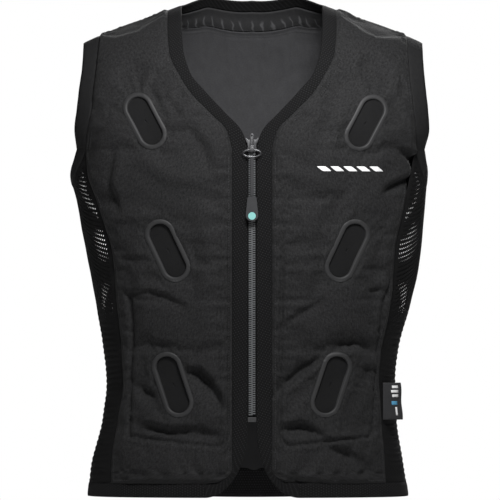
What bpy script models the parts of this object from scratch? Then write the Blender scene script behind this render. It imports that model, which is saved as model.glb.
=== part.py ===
import math

import bmesh
import bpy
import numpy as np
from mathutils import Matrix, Vector

# Frame: the vest faces -Y, +X is the wearer's left, z = 0 is the shoulder beside the neck.

# Overall sizes in metres
chest_half_width = 0.220
chest_front_depth = 0.135
chest_back_depth = 0.130
underarm_z = -0.166
hem_z = -0.587
back_drop = 0.005
section_power = 2.5

# Shoulders and armholes
shoulder_drop = 0.036
armhole_bottom_z = -0.193
armhole_front_depth = 0.066
armhole_back_depth = 0.062
armhole_band_width = 0.0185

# Neck, zip edges and hem
neck_half_width = 0.0866
neck_back_turn = 0.32
neck_band_width = 0.0162
zip_gap_half = 0.0055
zip_band_width = 0.019
hem_band_height = 0.0165
front_corner_width = 0.033
front_corner_height = 0.018
cutaway_width = 0.052
cutaway_height = 0.085
hem_facing_height = 0.038
hem_facing_lip = 0.001

# Layers of cloth, measured outward from the form surface
panel_outer, panel_inner = 0.0025, -0.0020
band_outer, band_inner = 0.0010, -0.0015
mesh_outer, mesh_inner = 0.0005, -0.0010
back_outer, back_inner = 0.0014, -0.0013
lining_outer, lining_inner = -0.0018, -0.0027
seam_gap = 0.00025

# Windows in the front panels
window_width = 0.026
window_clearance = 0.00035
window_outer, window_inner = 0.0004, -0.0014
window_table = (
    # name, x, z, length, lean in degrees
    ("window_right_top", -0.1287, -0.1324, 0.0615, -28),
    ("window_right_middle", -0.1013, -0.2885, 0.0690, -25),
    ("window_right_bottom", -0.0952, -0.4508, 0.0710, -18),
    ("window_left_top", 0.1373, -0.1348, 0.0615, 28),
    ("window_left_middle", 0.1147, -0.2885, 0.0690, 25),
    ("window_left_bottom", 0.0952, -0.4508, 0.0710, 18),
)

# Zip
zip_top_z = -0.1556
zip_end_z = -0.4900
coil_half_width = 0.0045
coil_outer, coil_inner = 0.0008, -0.0014
tape_width = 0.0160
tape_outer, tape_inner = -0.0018, -0.0026
chain_gap = 0.0006
box_height = 0.0058
box_half_width = 0.0053
box_outer, box_inner = 0.0022, -0.0036
box_bevel = 0.0006

# Slider
slider_top_z = -0.1475
slider_length = 0.0225
slider_tip_half = 0.0077
slider_waist_half = 0.0056
slider_plate = 0.0016
slider_play = 0.0004
bridge_width = 0.0052
bridge_wall = 0.0014
bridge_sink = 0.0008
bridge_slope = 0.0055
wedge_half = 0.0016
slider_corner = 0.0020
slider_notch = 0.0030

# Pull
ring_half_width = 0.0120
ring_half_height = 0.0055
ring_wire = 0.0012
ring_play = 0.0004
strap_width = 0.0042
strap_thickness = 0.0020
strap_length = 0.0460
strap_bevel = 0.0004
grip_length = 0.0300
grip_top_width = 0.0108
grip_bottom_width = 0.0150
grip_thickness = 0.0038
grip_corner = 0.0015
dot_radius = 0.0046
dot_thickness = 0.0008
touch_gap = 0.0003

# Side label
label_above_hem = 0.1380
label_height = 0.0450
label_width = 0.0270
label_thickness = 0.0010
label_flare = 0.0040
label_turn = 38

# Sections below the arms: height share of the side length, half width on -X and +X and
# depths in front and behind as shares of the chest sizes
section_table = (
    (0.00, 1.000, 0.985, 1.000, 1.000),
    (0.07, 1.004, 0.972, 1.000, 0.990),
    (0.15, 0.970, 0.959, 0.990, 0.970),
    (0.29, 0.920, 0.937, 0.965, 0.920),
    (0.44, 0.865, 0.882, 0.920, 0.860),
    (0.58, 0.821, 0.809, 0.875, 0.820),
    (0.67, 0.805, 0.793, 0.860, 0.810),
    (0.78, 0.826, 0.799, 0.870, 0.840),
    (0.90, 0.886, 0.836, 0.900, 0.920),
    (1.00, 0.909, 0.865, 0.920, 0.960),
)

# Side seam in front and behind: height share, share of the section's half width
seam_table = (
    (0.00, 0.905, 0.900),
    (0.07, 0.895, 0.885),
    (0.15, 0.876, 0.860),
    (0.29, 0.835, 0.830),
    (0.44, 0.859, 0.820),
    (0.58, 0.873, 0.820),
    (0.67, 0.875, 0.820),
    (0.78, 0.890, 0.830),
    (0.90, 0.870, 0.830),
    (1.00, 0.850, 0.820),
)

# Armhole edge: share of the climb to the shoulder, half widths on -X and +X as shares of
# the width at the underarm, width of the armhole band as a share of its size
armhole_table = (
    (0.00, 1.000, 1.000, 0.63),
    (0.12, 1.012, 1.026, 0.92),
    (0.25, 0.998, 1.018, 1.00),
    (0.38, 0.986, 1.006, 1.00),
    (0.54, 0.970, 0.995, 1.00),
    (0.78, 0.964, 0.990, 1.05),
    (1.00, 0.964, 0.990, 1.11),
)

# Ridge of the shoulders: distance from the middle as a share of the armhole edge, height
# as a share of the shoulder drop
ridge_table = (
    (0.00, 1.20),
    (0.25, 1.02),
    (0.34, 0.64),
    (0.42, 0.28),
    (0.50, 0.10),
    (0.56, -0.03),
    (0.61, -0.14),
    (0.72, -0.35),
    (0.82, -0.56),
    (1.00, -1.00),
)

# Neckline: share of the climb, spread of the free edge and of the panel edge
neck_table = (
    (0.000, 0.000, 0.000),
    (0.047, 0.053, 0.050),
    (0.076, 0.112, 0.100),
    (0.137, 0.337, 0.340),
    (0.226, 0.632, 0.610),
    (0.335, 0.860, 0.805),
    (0.485, 0.966, 0.970),
    (0.670, 0.995, 1.000),
    (1.000, 1.000, 1.000),
)

# Grid stations
climb_stations = (0.0, 0.047, 0.095, 0.15, 0.21, 0.28, 0.37, 0.48, 0.61, 0.74, 0.87, 1.0)
drop_stations = (0.0, 0.09, 0.19, 0.30, 0.42, 0.54, 0.66, 0.77, 0.87)
corner_angles = ((0, 30), (22, 45), (45, 61), (68, 76), (90, 90))
panel_columns = (0.0, 0.14, 0.30, 0.46, 0.62, 0.76, 0.88, 1.0)
side_columns = (0.0, 0.16, 0.33, 0.5, 0.67, 0.84, 1.0)
neck_columns = (0.0, 0.30, 0.56, 0.77, 0.92, 1.0)
shoulder_columns = (0.25, 0.5, 0.75, 1.0)

side_length = underarm_z - hem_z
hem_seam_z = hem_z + hem_band_height
panel_edge_x = zip_gap_half + zip_band_width

FRONT, BACK = -1, 1


def read_table(table, column, at):
    """Read a smooth curve through a column of a table."""
    xs = [row[0] for row in table]
    ys = [row[column] for row in table]
    at = min(max(at, xs[0]), xs[-1])
    last = len(xs) - 1
    index = min(max(int(np.searchsorted(xs, at)) - 1, 0), last - 1)
    slopes = [(ys[i + 1] - ys[i]) / (xs[i + 1] - xs[i]) for i in range(last)]

    def tangent(i):
        if i == 0:
            return slopes[0]
        if i == last:
            return slopes[-1]
        if slopes[i - 1] * slopes[i] <= 0:
            return 0.0
        return 2 * slopes[i - 1] * slopes[i] / (slopes[i - 1] + slopes[i])

    width = xs[index + 1] - xs[index]
    t = (at - xs[index]) / width
    start = (1 + 2 * t) * (1 - t) ** 2 * ys[index] + t * (1 - t) ** 2 * width * tangent(index)
    end = t * t * (3 - 2 * t) * ys[index + 1] - t * t * (1 - t) * width * tangent(index + 1)
    return start + end


def power_leg(leg):
    """Other leg of the section curve, where leg^n + other^n = 1."""
    return max(1.0 - min(abs(leg), 1.0) ** section_power, 0.0) ** (1.0 / section_power)


def half_width(side, z):
    share = (underarm_z - z) / side_length
    return chest_half_width * read_table(section_table, 1 if side < 0 else 2, share)


def depth(face, z):
    share = (underarm_z - z) / side_length
    if face == FRONT:
        return chest_front_depth * read_table(section_table, 3, share)
    return chest_back_depth * read_table(section_table, 4, share)


def body_point(side, turn, z):
    """Point below the arms; turn runs from 0 in front through 90 at the side to 180."""
    face = FRONT if turn <= 90 else BACK
    along = abs(math.cos(math.radians(turn))) ** (2 / section_power)
    across = abs(math.sin(math.radians(turn))) ** (2 / section_power)
    return Vector((side * half_width(side, z) * across, face * depth(face, z) * along, z))


def turn_at(side, face, x, z):
    """Turn of the body at a distance x from the middle."""
    share = min(abs(x) / half_width(side, z), 1.0)
    turn = math.degrees(math.asin(share ** (section_power / 2)))
    return turn if face == FRONT else 180 - turn


def armhole_size(face):
    middle = (armhole_bottom_z - shoulder_drop) / 2
    half_height = (-shoulder_drop - armhole_bottom_z) / 2
    half_depth = armhole_front_depth if face == FRONT else armhole_back_depth
    return middle, half_height, half_depth


def edge_share(face, climb):
    """Armhole edge as a share of the full section width at this climb."""
    middle, half_height, half_depth = armhole_size(face)
    climb = min(climb, 0.999)
    z = underarm_z + (-shoulder_drop - underarm_z) * math.sin(math.radians(90 * climb))
    reach = math.sqrt(max(1 - ((z - middle) / half_height) ** 2, 0.0))
    full = chest_front_depth if face == FRONT else chest_back_depth
    return power_leg(half_depth * reach / (full * math.cos(math.radians(90 * climb))))


def edge_x(side, face, climb):
    """Distance of the armhole edge from the middle."""
    start = half_width(side, underarm_z) * edge_share(face, 0.0)
    front_start = half_width(side, underarm_z) * edge_share(FRONT, 0.0)
    spread = read_table(armhole_table, 1 if side < 0 else 2, climb)
    blend = 1 - climb
    return (blend * start + (1 - blend) * front_start) * spread


def ridge_z(side, x):
    share = abs(x) / edge_x(side, FRONT, 1.0)
    return shoulder_drop * read_table(ridge_table, 1, share)


def arch_point(side, face, x, climb):
    """Point above the underarm; climb runs from 0 at the underarm to 1 on the ridge."""
    angle = math.radians(90 * climb)
    share = abs(x) / edge_x(side, face, climb) * edge_share(face, climb)
    full = chest_front_depth if face == FRONT else chest_back_depth
    y = face * full * math.cos(angle) * power_leg(share)
    z = underarm_z + (ridge_z(side, x) - underarm_z) * math.sin(angle)
    return Vector((side * abs(x), y, z))


def body_site(side, turn, z):
    """Point and outward normal below the arms."""
    step_turn, step_z = 0.5, 0.002
    low, high = max(turn - step_turn, 0.0), min(turn + step_turn, 180.0)
    along = body_point(side, high, z) - body_point(side, low, z)
    up = body_point(side, turn, z + step_z) - body_point(side, turn, z - step_z)
    return body_point(side, turn, z), up.cross(along).normalized() * -side


def arch_site(side, face, x, climb):
    """Point and outward normal above the underarm."""
    step_x, step_climb = 0.0005, 0.004
    inner, outer = abs(x) - step_x, abs(x) + step_x
    if inner < 0:
        inner, outer = 0.0, 2 * step_x
    low, high = max(climb - step_climb, 0.0), min(climb + step_climb, 0.9999)
    along = arch_point(side, face, outer, climb) - arch_point(side, face, inner, climb)
    up = arch_point(side, face, x, high) - arch_point(side, face, x, low)
    normal = up.cross(along).normalized()
    point = arch_point(side, face, x, climb)
    if normal.dot(Vector((0, face, 0.6))) < 0:
        normal = -normal
    return point, normal


def new_material(name, colour, roughness, metallic=0.0):
    material = bpy.data.materials.new(name)
    material.use_nodes = True
    shader = material.node_tree.nodes["Principled BSDF"]
    shader.inputs["Base Color"].default_value = (*colour, 1.0)
    shader.inputs["Roughness"].default_value = roughness
    shader.inputs["Metallic"].default_value = metallic
    return material


def add_object(name, bm, material, parent=None, origin=(0, 0, 0)):
    bm.normal_update()
    bmesh.ops.recalc_face_normals(bm, faces=bm.faces)
    mesh = bpy.data.meshes.new(name)
    bm.to_mesh(mesh)
    bm.free()
    mesh.materials.append(material)
    mesh.shade_smooth()
    mesh.set_sharp_from_angle(angle=math.radians(40))
    obj = bpy.data.objects.new(name, mesh)
    obj.location = origin
    obj.parent = parent
    bpy.context.scene.collection.objects.link(obj)
    return obj


def shell_mesh(sites, outer, inner, ring=False):
    """Close a grid of (point, normal) rows into a cloth layer with side walls."""
    rows, cols = len(sites), len(sites[0])
    points = [[site[0].copy() for site in row] for row in sites]

    def pull(point, towards):
        step = towards - point
        return point + step.normalized() * seam_gap

    for r in range(rows):
        first = pull(points[r][0], points[r][1])
        last = pull(points[r][-1], points[r][-2])
        points[r][0], points[r][-1] = first, last
    if not ring:
        for c in range(cols):
            first = pull(points[0][c], points[1][c])
            last = pull(points[-1][c], points[-2][c])
            points[0][c], points[-1][c] = first, last

    bm = bmesh.new()
    layers = []
    for offset in (outer, inner):
        layer = [[bm.verts.new(points[r][c] + sites[r][c][1] * offset) for c in range(cols)]
                 for r in range(rows)]
        layers.append(layer)
    top, bottom = layers
    spans = rows if ring else rows - 1
    for r in range(spans):
        n = (r + 1) % rows
        for c in range(cols - 1):
            bm.faces.new((top[r][c], top[r][c + 1], top[n][c + 1], top[n][c]))
            bm.faces.new((bottom[n][c], bottom[n][c + 1], bottom[r][c + 1], bottom[r][c]))
        bm.faces.new((top[n][0], bottom[n][0], bottom[r][0], top[r][0]))
        bm.faces.new((top[r][-1], bottom[r][-1], bottom[n][-1], top[n][-1]))
    if not ring:
        for c in range(cols - 1):
            bm.faces.new((top[0][c], bottom[0][c], bottom[0][c + 1], top[0][c + 1]))
            bm.faces.new((top[-1][c + 1], bottom[-1][c + 1], bottom[-1][c], top[-1][c]))
    bmesh.ops.triangulate(bm, faces=bm.faces)
    return bm


def blend(a, b, share):
    return a + (b - a) * share


def climb_neck(column, climb):
    return read_table(neck_table, column, climb)


def free_edge_x(climb):
    return zip_gap_half + (neck_half_width - zip_gap_half) * climb_neck(1, climb)


def neck_panel_x(climb):
    full = neck_half_width + neck_band_width
    return panel_edge_x + (full - panel_edge_x) * climb_neck(2, climb)


def armhole_inner_x(side, face, climb):
    return edge_x(side, face, climb) - armhole_band_width * read_table(armhole_table, 3, climb)


def seam_x(side, face, z):
    share = (underarm_z - z) / side_length
    if share <= 0:
        return armhole_inner_x(side, face, 0.0)
    start = armhole_inner_x(side, face, 0.0) / half_width(side, underarm_z)
    column = 1 if face == FRONT else 2
    table_start = seam_table[0][column]
    shift = (start - table_start) * max(1 - share / seam_table[2][0], 0.0)
    return half_width(side, z) * (read_table(seam_table, column, share) + shift)


def drop_z(share, seam_z):
    return blend(underarm_z, seam_z, share)


def front_rows():
    """Heights of the front panel's rows below the arms, ending round the corner."""
    rows = [drop_z(share, hem_seam_z) for share in drop_stations]
    for angle, _ in corner_angles:
        rows.append(hem_seam_z + front_corner_height * (1 - math.sin(math.radians(angle))))
    return rows


def panel_inner_x(z):
    rise = z - hem_seam_z
    if rise >= front_corner_height:
        return panel_edge_x
    angle = math.asin(min(1 - rise / front_corner_height, 1.0))
    return panel_edge_x + front_corner_width * (1 - math.cos(angle))


def front_panel_sites(side):
    rows = []
    for climb in reversed(climb_stations):
        row = []
        inner, outer = neck_panel_x(climb), armhole_inner_x(side, FRONT, climb)
        for share in panel_columns:
            row.append(arch_site(side, FRONT, blend(inner, outer, share), climb))
        rows.append(row)
    for z in front_rows()[1:]:
        inner, outer = panel_inner_x(z), seam_x(side, FRONT, z)
        row = []
        for share in panel_columns:
            row.append(body_site(side, turn_at(side, FRONT, blend(inner, outer, share), z), z))
        rows.append(row)
    return rows


def window_prism(x, z, length, lean, width):
    """Round-ended slot, long in Y, to cut with."""
    bm = bmesh.new()
    steps = 7
    radius = width / 2
    straight = length / 2 - radius
    outline = []
    for end in (1, -1):
        for i in range(steps + 1):
            angle = math.pi * i / steps + (0 if end > 0 else math.pi)
            outline.append((radius * math.cos(angle), end * straight + radius * math.sin(angle)))
    turn = Matrix.Rotation(math.radians(lean), 2)
    reach = 2 * chest_front_depth
    rings = []
    for y in (-reach, 0.0):
        ring = []
        for point in outline:
            flat = turn @ Vector(point)
            ring.append(bm.verts.new((x + flat.x, y, z + flat.y)))
        rings.append(ring)
    count = len(outline)
    for i in range(count):
        n = (i + 1) % count
        bm.faces.new((rings[0][i], rings[0][n], rings[1][n], rings[1][i]))
    bm.faces.new(rings[0])
    bm.faces.new(list(reversed(rings[1])))
    return bm


def add_boolean(obj, tool, operation):
    modifier = obj.modifiers.new(operation.lower(), "BOOLEAN")
    modifier.operation = operation
    modifier.solver = "EXACT"
    modifier.object = tool


def as_cutter(obj):
    obj.hide_render = True
    obj.display_type = "WIRE"
    return obj


def make_front_panel(side, name, fabric, inset_fabric):
    panel = add_object(name, shell_mesh(front_panel_sites(side), panel_outer, panel_inner), fabric)
    for window, x, z, length, lean in window_table:
        if x * side < 0:
            continue
        hole = window_prism(x, z, length, -lean, window_width)
        cutter = as_cutter(add_object("cut_" + window, hole, fabric))
        add_boolean(panel, cutter, "DIFFERENCE")
        less = 2 * window_clearance
        slug = window_prism(x, z, length - less, -lean, window_width - less)
        keeper = as_cutter(add_object("keep_" + window, slug, fabric))
        layer = shell_mesh(front_panel_sites(side), window_outer, window_inner)
        insert = add_object(window, layer, inset_fabric)
        add_boolean(insert, keeper, "INTERSECT")


def band_stations(side):
    """Pairs of sites across the front band: free edge, panel edge."""
    pairs = []
    for climb in reversed(climb_stations):
        free = arch_site(side, FRONT, free_edge_x(climb), climb)
        pairs.append((free, arch_site(side, FRONT, neck_panel_x(climb), climb),
                      arch_site(side, FRONT, (free_edge_x(climb) + neck_panel_x(climb)) / 2, climb)))
    zs = front_rows()[1:]
    angles = [None] * (len(zs) - len(corner_angles)) + [free for _, free in corner_angles]
    for z, angle in zip(zs, angles):
        if angle is None:
            rise = (z - hem_z) / cutaway_height
            angle = math.degrees(math.asin(1 - rise)) if rise < 1 else 0.0
            free_z = z
        else:
            free_z = hem_z + cutaway_height * (1 - math.sin(math.radians(angle)))
        free_x = zip_gap_half + cutaway_width * (1 - math.cos(math.radians(angle)))
        places = []
        for share in (0.0, 1.0, 0.5):
            x = blend(free_x, panel_inner_x(z), share)
            height = blend(free_z, z, share)
            places.append(body_site(side, turn_at(side, FRONT, x, height), height))
        pairs.append(tuple(places))
    return pairs


def make_front_band(side, name, knit):
    sites = [[free, middle, panel] for free, panel, middle in band_stations(side)]
    add_object(name, shell_mesh(sites, band_outer, band_inner), knit)


def side_top_z(side, turn):
    """Top of the side panel: a wider copy of the armhole's lower arc."""
    face = FRONT if turn <= 90 else BACK
    middle, half_height, _ = armhole_size(face)
    wide_height = half_height + armhole_band_width
    corner_x = armhole_inner_x(side, face, 0.0)
    corner = body_point(side, turn_at(side, face, corner_x, underarm_z), underarm_z)
    sine = math.sqrt(1 - ((middle - underarm_z) / wide_height) ** 2)
    wide_depth = abs(corner.y) / sine
    y = depth(face, underarm_z) * abs(math.cos(math.radians(turn))) ** (2 / section_power)
    return middle - wide_height * math.sqrt(max(1 - (y / wide_depth) ** 2, 0.0))


def armhole_low_z(turn):
    face = FRONT if turn <= 90 else BACK
    middle, half_height, half_depth = armhole_size(face)
    y = depth(face, underarm_z) * abs(math.cos(math.radians(turn))) ** (2 / section_power)
    return middle - half_height * math.sqrt(max(1 - (y / half_depth) ** 2, 0.0))


def side_top_turns(side, inner):
    """Turns along the top of the side panel, or along the armhole edge above it."""
    ends = []
    for face in (FRONT, BACK):
        x = armhole_inner_x(side, face, 0.0) if inner else edge_x(side, face, 0.0)
        ends.append(turn_at(side, face, x, underarm_z))
    turns = []
    for share in side_columns:
        if share <= 0.5:
            turns.append(blend(ends[0], 90, share * 2))
        else:
            turns.append(blend(90, ends[1], share * 2 - 1))
    return turns


def side_panel_sites(side):
    top_turns = side_top_turns(side, True)
    zs_front = front_rows()
    rows = []
    for index, z_seam in enumerate(zs_front):
        share = (underarm_z - z_seam) / (underarm_z - hem_seam_z)
        row = []
        for column, top_turn in zip(side_columns, top_turns):
            z = blend(side_top_z(side, top_turn), hem_seam_z, share)
            front = turn_at(side, FRONT, seam_x(side, FRONT, z), z)
            back = turn_at(side, BACK, seam_x(side, BACK, z), z)
            low = blend(front, 90, column * 2) if column <= 0.5 else blend(90, back, column * 2 - 1)
            row.append(body_site(side, low, z))
        rows.append(row)
    return rows


def make_side_panel(side, name, mesh_knit):
    add_object(name, shell_mesh(side_panel_sites(side), mesh_outer, mesh_inner), mesh_knit)


def armhole_band_sites(side):
    rows = []
    shares = (0.0, 0.5, 1.0)
    for climb in reversed(climb_stations[:-1]):
        inner, outer = armhole_inner_x(side, FRONT, climb), edge_x(side, FRONT, climb)
        rows.append([arch_site(side, FRONT, blend(outer, inner, s), climb) for s in shares])
    inner_turns, outer_turns = side_top_turns(side, True), side_top_turns(side, False)
    for inner, outer in list(zip(inner_turns, outer_turns))[1:-1]:
        low, high = side_top_z(side, inner), armhole_low_z(outer)
        rows.append([body_site(side, blend(outer, inner, s), blend(high, low, s)) for s in shares])
    for climb in climb_stations[:-1]:
        inner, outer = armhole_inner_x(side, BACK, climb), edge_x(side, BACK, climb)
        rows.append([arch_site(side, BACK, blend(outer, inner, s), climb) for s in shares])
    inner, outer = armhole_inner_x(side, FRONT, 1.0), edge_x(side, FRONT, 1.0)
    rows.append([arch_site(side, FRONT, blend(outer, inner, s), 1.0) for s in shares])
    return rows


def make_armhole_band(side, name, knit):
    add_object(name, shell_mesh(armhole_band_sites(side), band_outer, band_inner, ring=True), knit)


def neck_climb(share, margin):
    """Climb of the back neckline, widened by a margin; share runs from middle to shoulder."""
    per_climb = math.pi / 2 * math.hypot(chest_back_depth, underarm_z) / math.sqrt(2)
    start = 1 - neck_back_turn - margin / per_climb
    return 1 - (1 - start) * (1 - share ** 2) ** 0.6


def back_columns():
    """Signed columns of the back: (side, neck share, shoulder share)."""
    columns = [(share, 0.0) for share in neck_columns]
    columns += [(1.0, share) for share in shoulder_columns]
    signed = [(-1, *column) for column in reversed(columns[1:])] + [(1, *columns[0])]
    signed += [(1, *column) for column in columns[1:]]
    return signed


def back_column_x(side, neck_share, shoulder_share, climb):
    neck_x = (neck_half_width + neck_band_width) * neck_share
    outer = armhole_inner_x(side, BACK, climb)
    return blend(neck_x, outer, shoulder_share)


def back_low_row(low_rise, share):
    """Row of the back below the arms, a share of the way to a rise above its dropped hem."""
    row = []
    for side, neck_share, shoulder_share in back_columns():
        width = seam_x(side, BACK, blend(underarm_z, hem_z + low_rise, share))
        start = armhole_inner_x(side, BACK, 0.0)
        x = back_column_x(side, neck_share, shoulder_share, 0.0) / start * width
        low = hem_z + low_rise - back_drop * (1 - (x / width) ** 2)
        z = blend(underarm_z, low, share)
        row.append(body_site(side, turn_at(side, BACK, x, z), z))
    return row


def back_sites():
    """Rows of the back from the shoulders down to the hem band."""
    rows = []
    for climb in reversed(climb_stations[1:]):
        row = []
        for side, neck_share, shoulder_share in back_columns():
            top = neck_climb(neck_share, neck_band_width) if shoulder_share == 0 else 1.0
            x = back_column_x(side, neck_share, shoulder_share, climb * top)
            row.append(arch_site(side, BACK, x, climb * top))
        rows.append(row)
    facing_share = 1 - (hem_facing_height - hem_band_height) / (side_length - hem_band_height)
    for share in drop_stations + (facing_share, 1.0):
        rows.append(back_low_row(hem_band_height, share))
    return rows


def make_back(fabric, lining, knit):
    sites = back_sites()
    add_object("back_panel", shell_mesh(sites, back_outer, back_inner), fabric)
    facing_low = back_low_row(hem_facing_lip, 1.0)
    layers = (
        ("neck_facing", sites[:2], knit),
        ("back_lining", sites[1:-1], lining),
        ("back_hem_facing", [sites[-2], sites[-1], facing_low], lining),
    )
    for name, rows, material in layers:
        add_object(name, shell_mesh(rows, lining_outer, lining_inner), material)


def neck_ring_rows(margins):
    """Stations round the back of the neck, between the two shoulder ends."""
    places = [(-1, share) for share in reversed(neck_columns)]
    places += [(1, share) for share in neck_columns[1:]]
    rows = []
    for side, share in places:
        row = []
        for margin in margins:
            x = (neck_half_width + margin) * share
            row.append(arch_site(side, BACK, x, neck_climb(share, margin)))
        rows.append(row)
    return rows


def make_neck_band(knit):
    rows = neck_ring_rows((0.0, neck_band_width / 2, neck_band_width))
    add_object("neck_band_back", shell_mesh(rows, band_outer, band_inner), knit)


def make_hem_bands(knit):
    for side, name in ((-1, "hem_band_right"), (1, "hem_band_left")):
        rows = []
        corner_x = panel_edge_x + front_corner_width
        free_x = zip_gap_half + cutaway_width
        for share in panel_columns:
            row = []
            for drop in (0.0, 0.5, 1.0):
                z = blend(hem_seam_z, hem_z, drop)
                top_x = blend(corner_x, seam_x(side, FRONT, hem_seam_z), share)
                low_x = blend(free_x, seam_x(side, FRONT, hem_seam_z), share)
                x = blend(top_x, low_x, drop)
                row.append(body_site(side, turn_at(side, FRONT, x, z), z))
            rows.append(row)
        for column in side_columns[1:]:
            row = []
            front = turn_at(side, FRONT, seam_x(side, FRONT, hem_seam_z), hem_seam_z)
            back = turn_at(side, BACK, seam_x(side, BACK, hem_seam_z), hem_seam_z)
            turn = blend(front, 90, column * 2) if column <= 0.5 else blend(90, back, column * 2 - 1)
            for drop in (0.0, 0.5, 1.0):
                row.append(body_site(side, turn, blend(hem_seam_z, hem_z, drop)))
            rows.append(row)
        add_object(name, shell_mesh(rows, band_outer, band_inner), knit)

    rows = []
    for rise_share in (1.0, 0.5, 0.0):
        rise = hem_band_height * rise_share
        rows.append(back_low_row(rise, 1.0))
    add_object("hem_band_back", shell_mesh(rows, band_outer, band_inner), knit)


def zip_sites(side, x_from, x_to, top_z, low_z, count):
    rows = []
    for i in range(count + 1):
        z = blend(top_z, low_z, i / count)
        row = []
        for x in (x_from, (x_from + x_to) / 2, x_to):
            row.append(body_site(side, turn_at(side, FRONT, x, z), z))
        rows.append(row)
    return rows


def make_zip(tape, metal_coil, metal):
    count = 14
    coil_end = zip_end_z + touch_gap
    for side, label in ((-1, "right"), (1, "left")):
        sites = zip_sites(side, chain_gap / 2, coil_half_width, zip_top_z, coil_end, count)
        add_object("zip_coil_" + label, shell_mesh(sites, coil_outer, coil_inner), metal_coil)
        sites = zip_sites(side, chain_gap, tape_width, zip_top_z, coil_end, count)
        add_object("zip_tape_" + label, shell_mesh(sites, tape_outer, tape_inner), tape)
    front = -depth(FRONT, zip_end_z)
    low = zip_end_z - box_height
    box = box_bmesh(-box_half_width, box_half_width, front - box_outer, front - box_inner,
                    low, zip_end_z)
    bmesh.ops.bevel(box, geom=box.edges, offset=box_bevel, segments=1, affect="EDGES")
    add_object("zip_box", box, metal)


def box_bmesh(x0, x1, y0, y1, z0, z1):
    bm = bmesh.new()
    bmesh.ops.create_cube(bm, size=1.0)
    for vert in bm.verts:
        vert.co.x = x0 if vert.co.x < 0 else x1
        vert.co.y = y0 if vert.co.y < 0 else y1
        vert.co.z = z0 if vert.co.z < 0 else z1
    return bm


def prism(outline, y0, y1, plane="XZ"):
    """Extrude a flat outline; plane XZ goes along Y, plane YZ goes along X."""
    bm = bmesh.new()
    rings = []
    for level in (y0, y1):
        ring = []
        for a, b in outline:
            ring.append(bm.verts.new((a, level, b) if plane == "XZ" else (level, a, b)))
        rings.append(ring)
    count = len(outline)
    for i in range(count):
        n = (i + 1) % count
        bm.faces.new((rings[0][i], rings[0][n], rings[1][n], rings[1][i]))
    bm.faces.new(rings[0])
    bm.faces.new(list(reversed(rings[1])))
    return bm


def slider_front_y():
    return -depth(FRONT, zip_top_z) - coil_outer - slider_play


def pull_axis():
    """Centre of the bar that the pull turns on."""
    z = slider_top_z - slider_length + bridge_wall + ring_play + ring_wire
    y = slider_front_y() - slider_plate - ring_play - ring_wire
    return Vector((0.0, y, z))


def make_slider(metal):
    front = slider_front_y()
    low = slider_top_z - slider_length
    neck_z = blend(slider_top_z, low, 0.48)
    notch_z = blend(slider_top_z, low, 0.22)
    outline = [
        (slider_tip_half, blend(slider_top_z, low, 0.12)),
        (slider_waist_half, neck_z),
        (slider_waist_half * 1.08, low + slider_corner),
        (slider_waist_half * 0.8, low),
    ]
    outline += [(-x, z) for x, z in reversed(outline)]
    outline += [(-slider_waist_half * 0.75, notch_z - slider_notch), (-slider_waist_half * 0.5, slider_top_z)]
    outline += [(slider_waist_half * 0.5, slider_top_z), (slider_waist_half * 0.75, notch_z - slider_notch)]
    body = add_object("slider_body", prism(outline, front - slider_plate, front), metal)
    back = -depth(FRONT, zip_top_z) - tape_inner + slider_play
    plate = as_cutter(add_object("slider_back", prism(outline, back, back + slider_plate), metal))
    wedge_low = zip_top_z + slider_play
    wedge = box_bmesh(-wedge_half, wedge_half, front - slider_plate / 2, back + slider_plate / 2,
                      wedge_low, slider_top_z - slider_play)
    post = as_cutter(add_object("slider_wedge", wedge, metal))
    axis = pull_axis()
    face = front - slider_plate
    out = axis.y - ring_wire - ring_play
    top = slider_top_z - 1.5 * bridge_sink
    sunk = face + bridge_sink
    arch = [
        (sunk, top), (face - bridge_sink / 2, top), (out - bridge_wall, top - bridge_slope),
        (out - bridge_wall, low + bridge_wall), (out - bridge_sink / 2, low), (sunk, low),
        (sunk, low + bridge_wall), (out, low + bridge_wall), (out, top - bridge_slope - bridge_sink),
        (face + bridge_sink / 2, top - bridge_slope / 2),
    ]
    bridge = as_cutter(add_object("slider_bridge", prism(arch, -bridge_width / 2, bridge_width / 2,
                                                        "YZ"), metal))
    for tool in (plate, post, bridge):
        add_boolean(body, tool, "UNION")


def ring_bmesh(half_width_, half_height_, wire):
    """Oval ring in the XZ plane whose top bar lies on the origin."""
    bm = bmesh.new()
    around, across = 28, 8
    grid = []
    for i in range(around):
        a = 2 * math.pi * i / around
        radius_x, radius_z = half_width_ - wire, half_height_ - wire
        centre = Vector((radius_x * math.sin(a), 0, radius_z * (math.cos(a) - 1)))
        outward = Vector((radius_z * math.sin(a), 0, radius_x * math.cos(a))).normalized()
        loop = []
        for k in range(across):
            b = 2 * math.pi * k / across
            offset = outward * math.cos(b) + Vector((0, 1, 0)) * math.sin(b)
            loop.append(bm.verts.new(centre + offset * wire))
        grid.append(loop)
    for i in range(around):
        n = (i + 1) % around
        for k in range(across):
            m = (k + 1) % across
            bm.faces.new((grid[i][k], grid[i][m], grid[n][m], grid[n][k]))
    return bm


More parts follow.
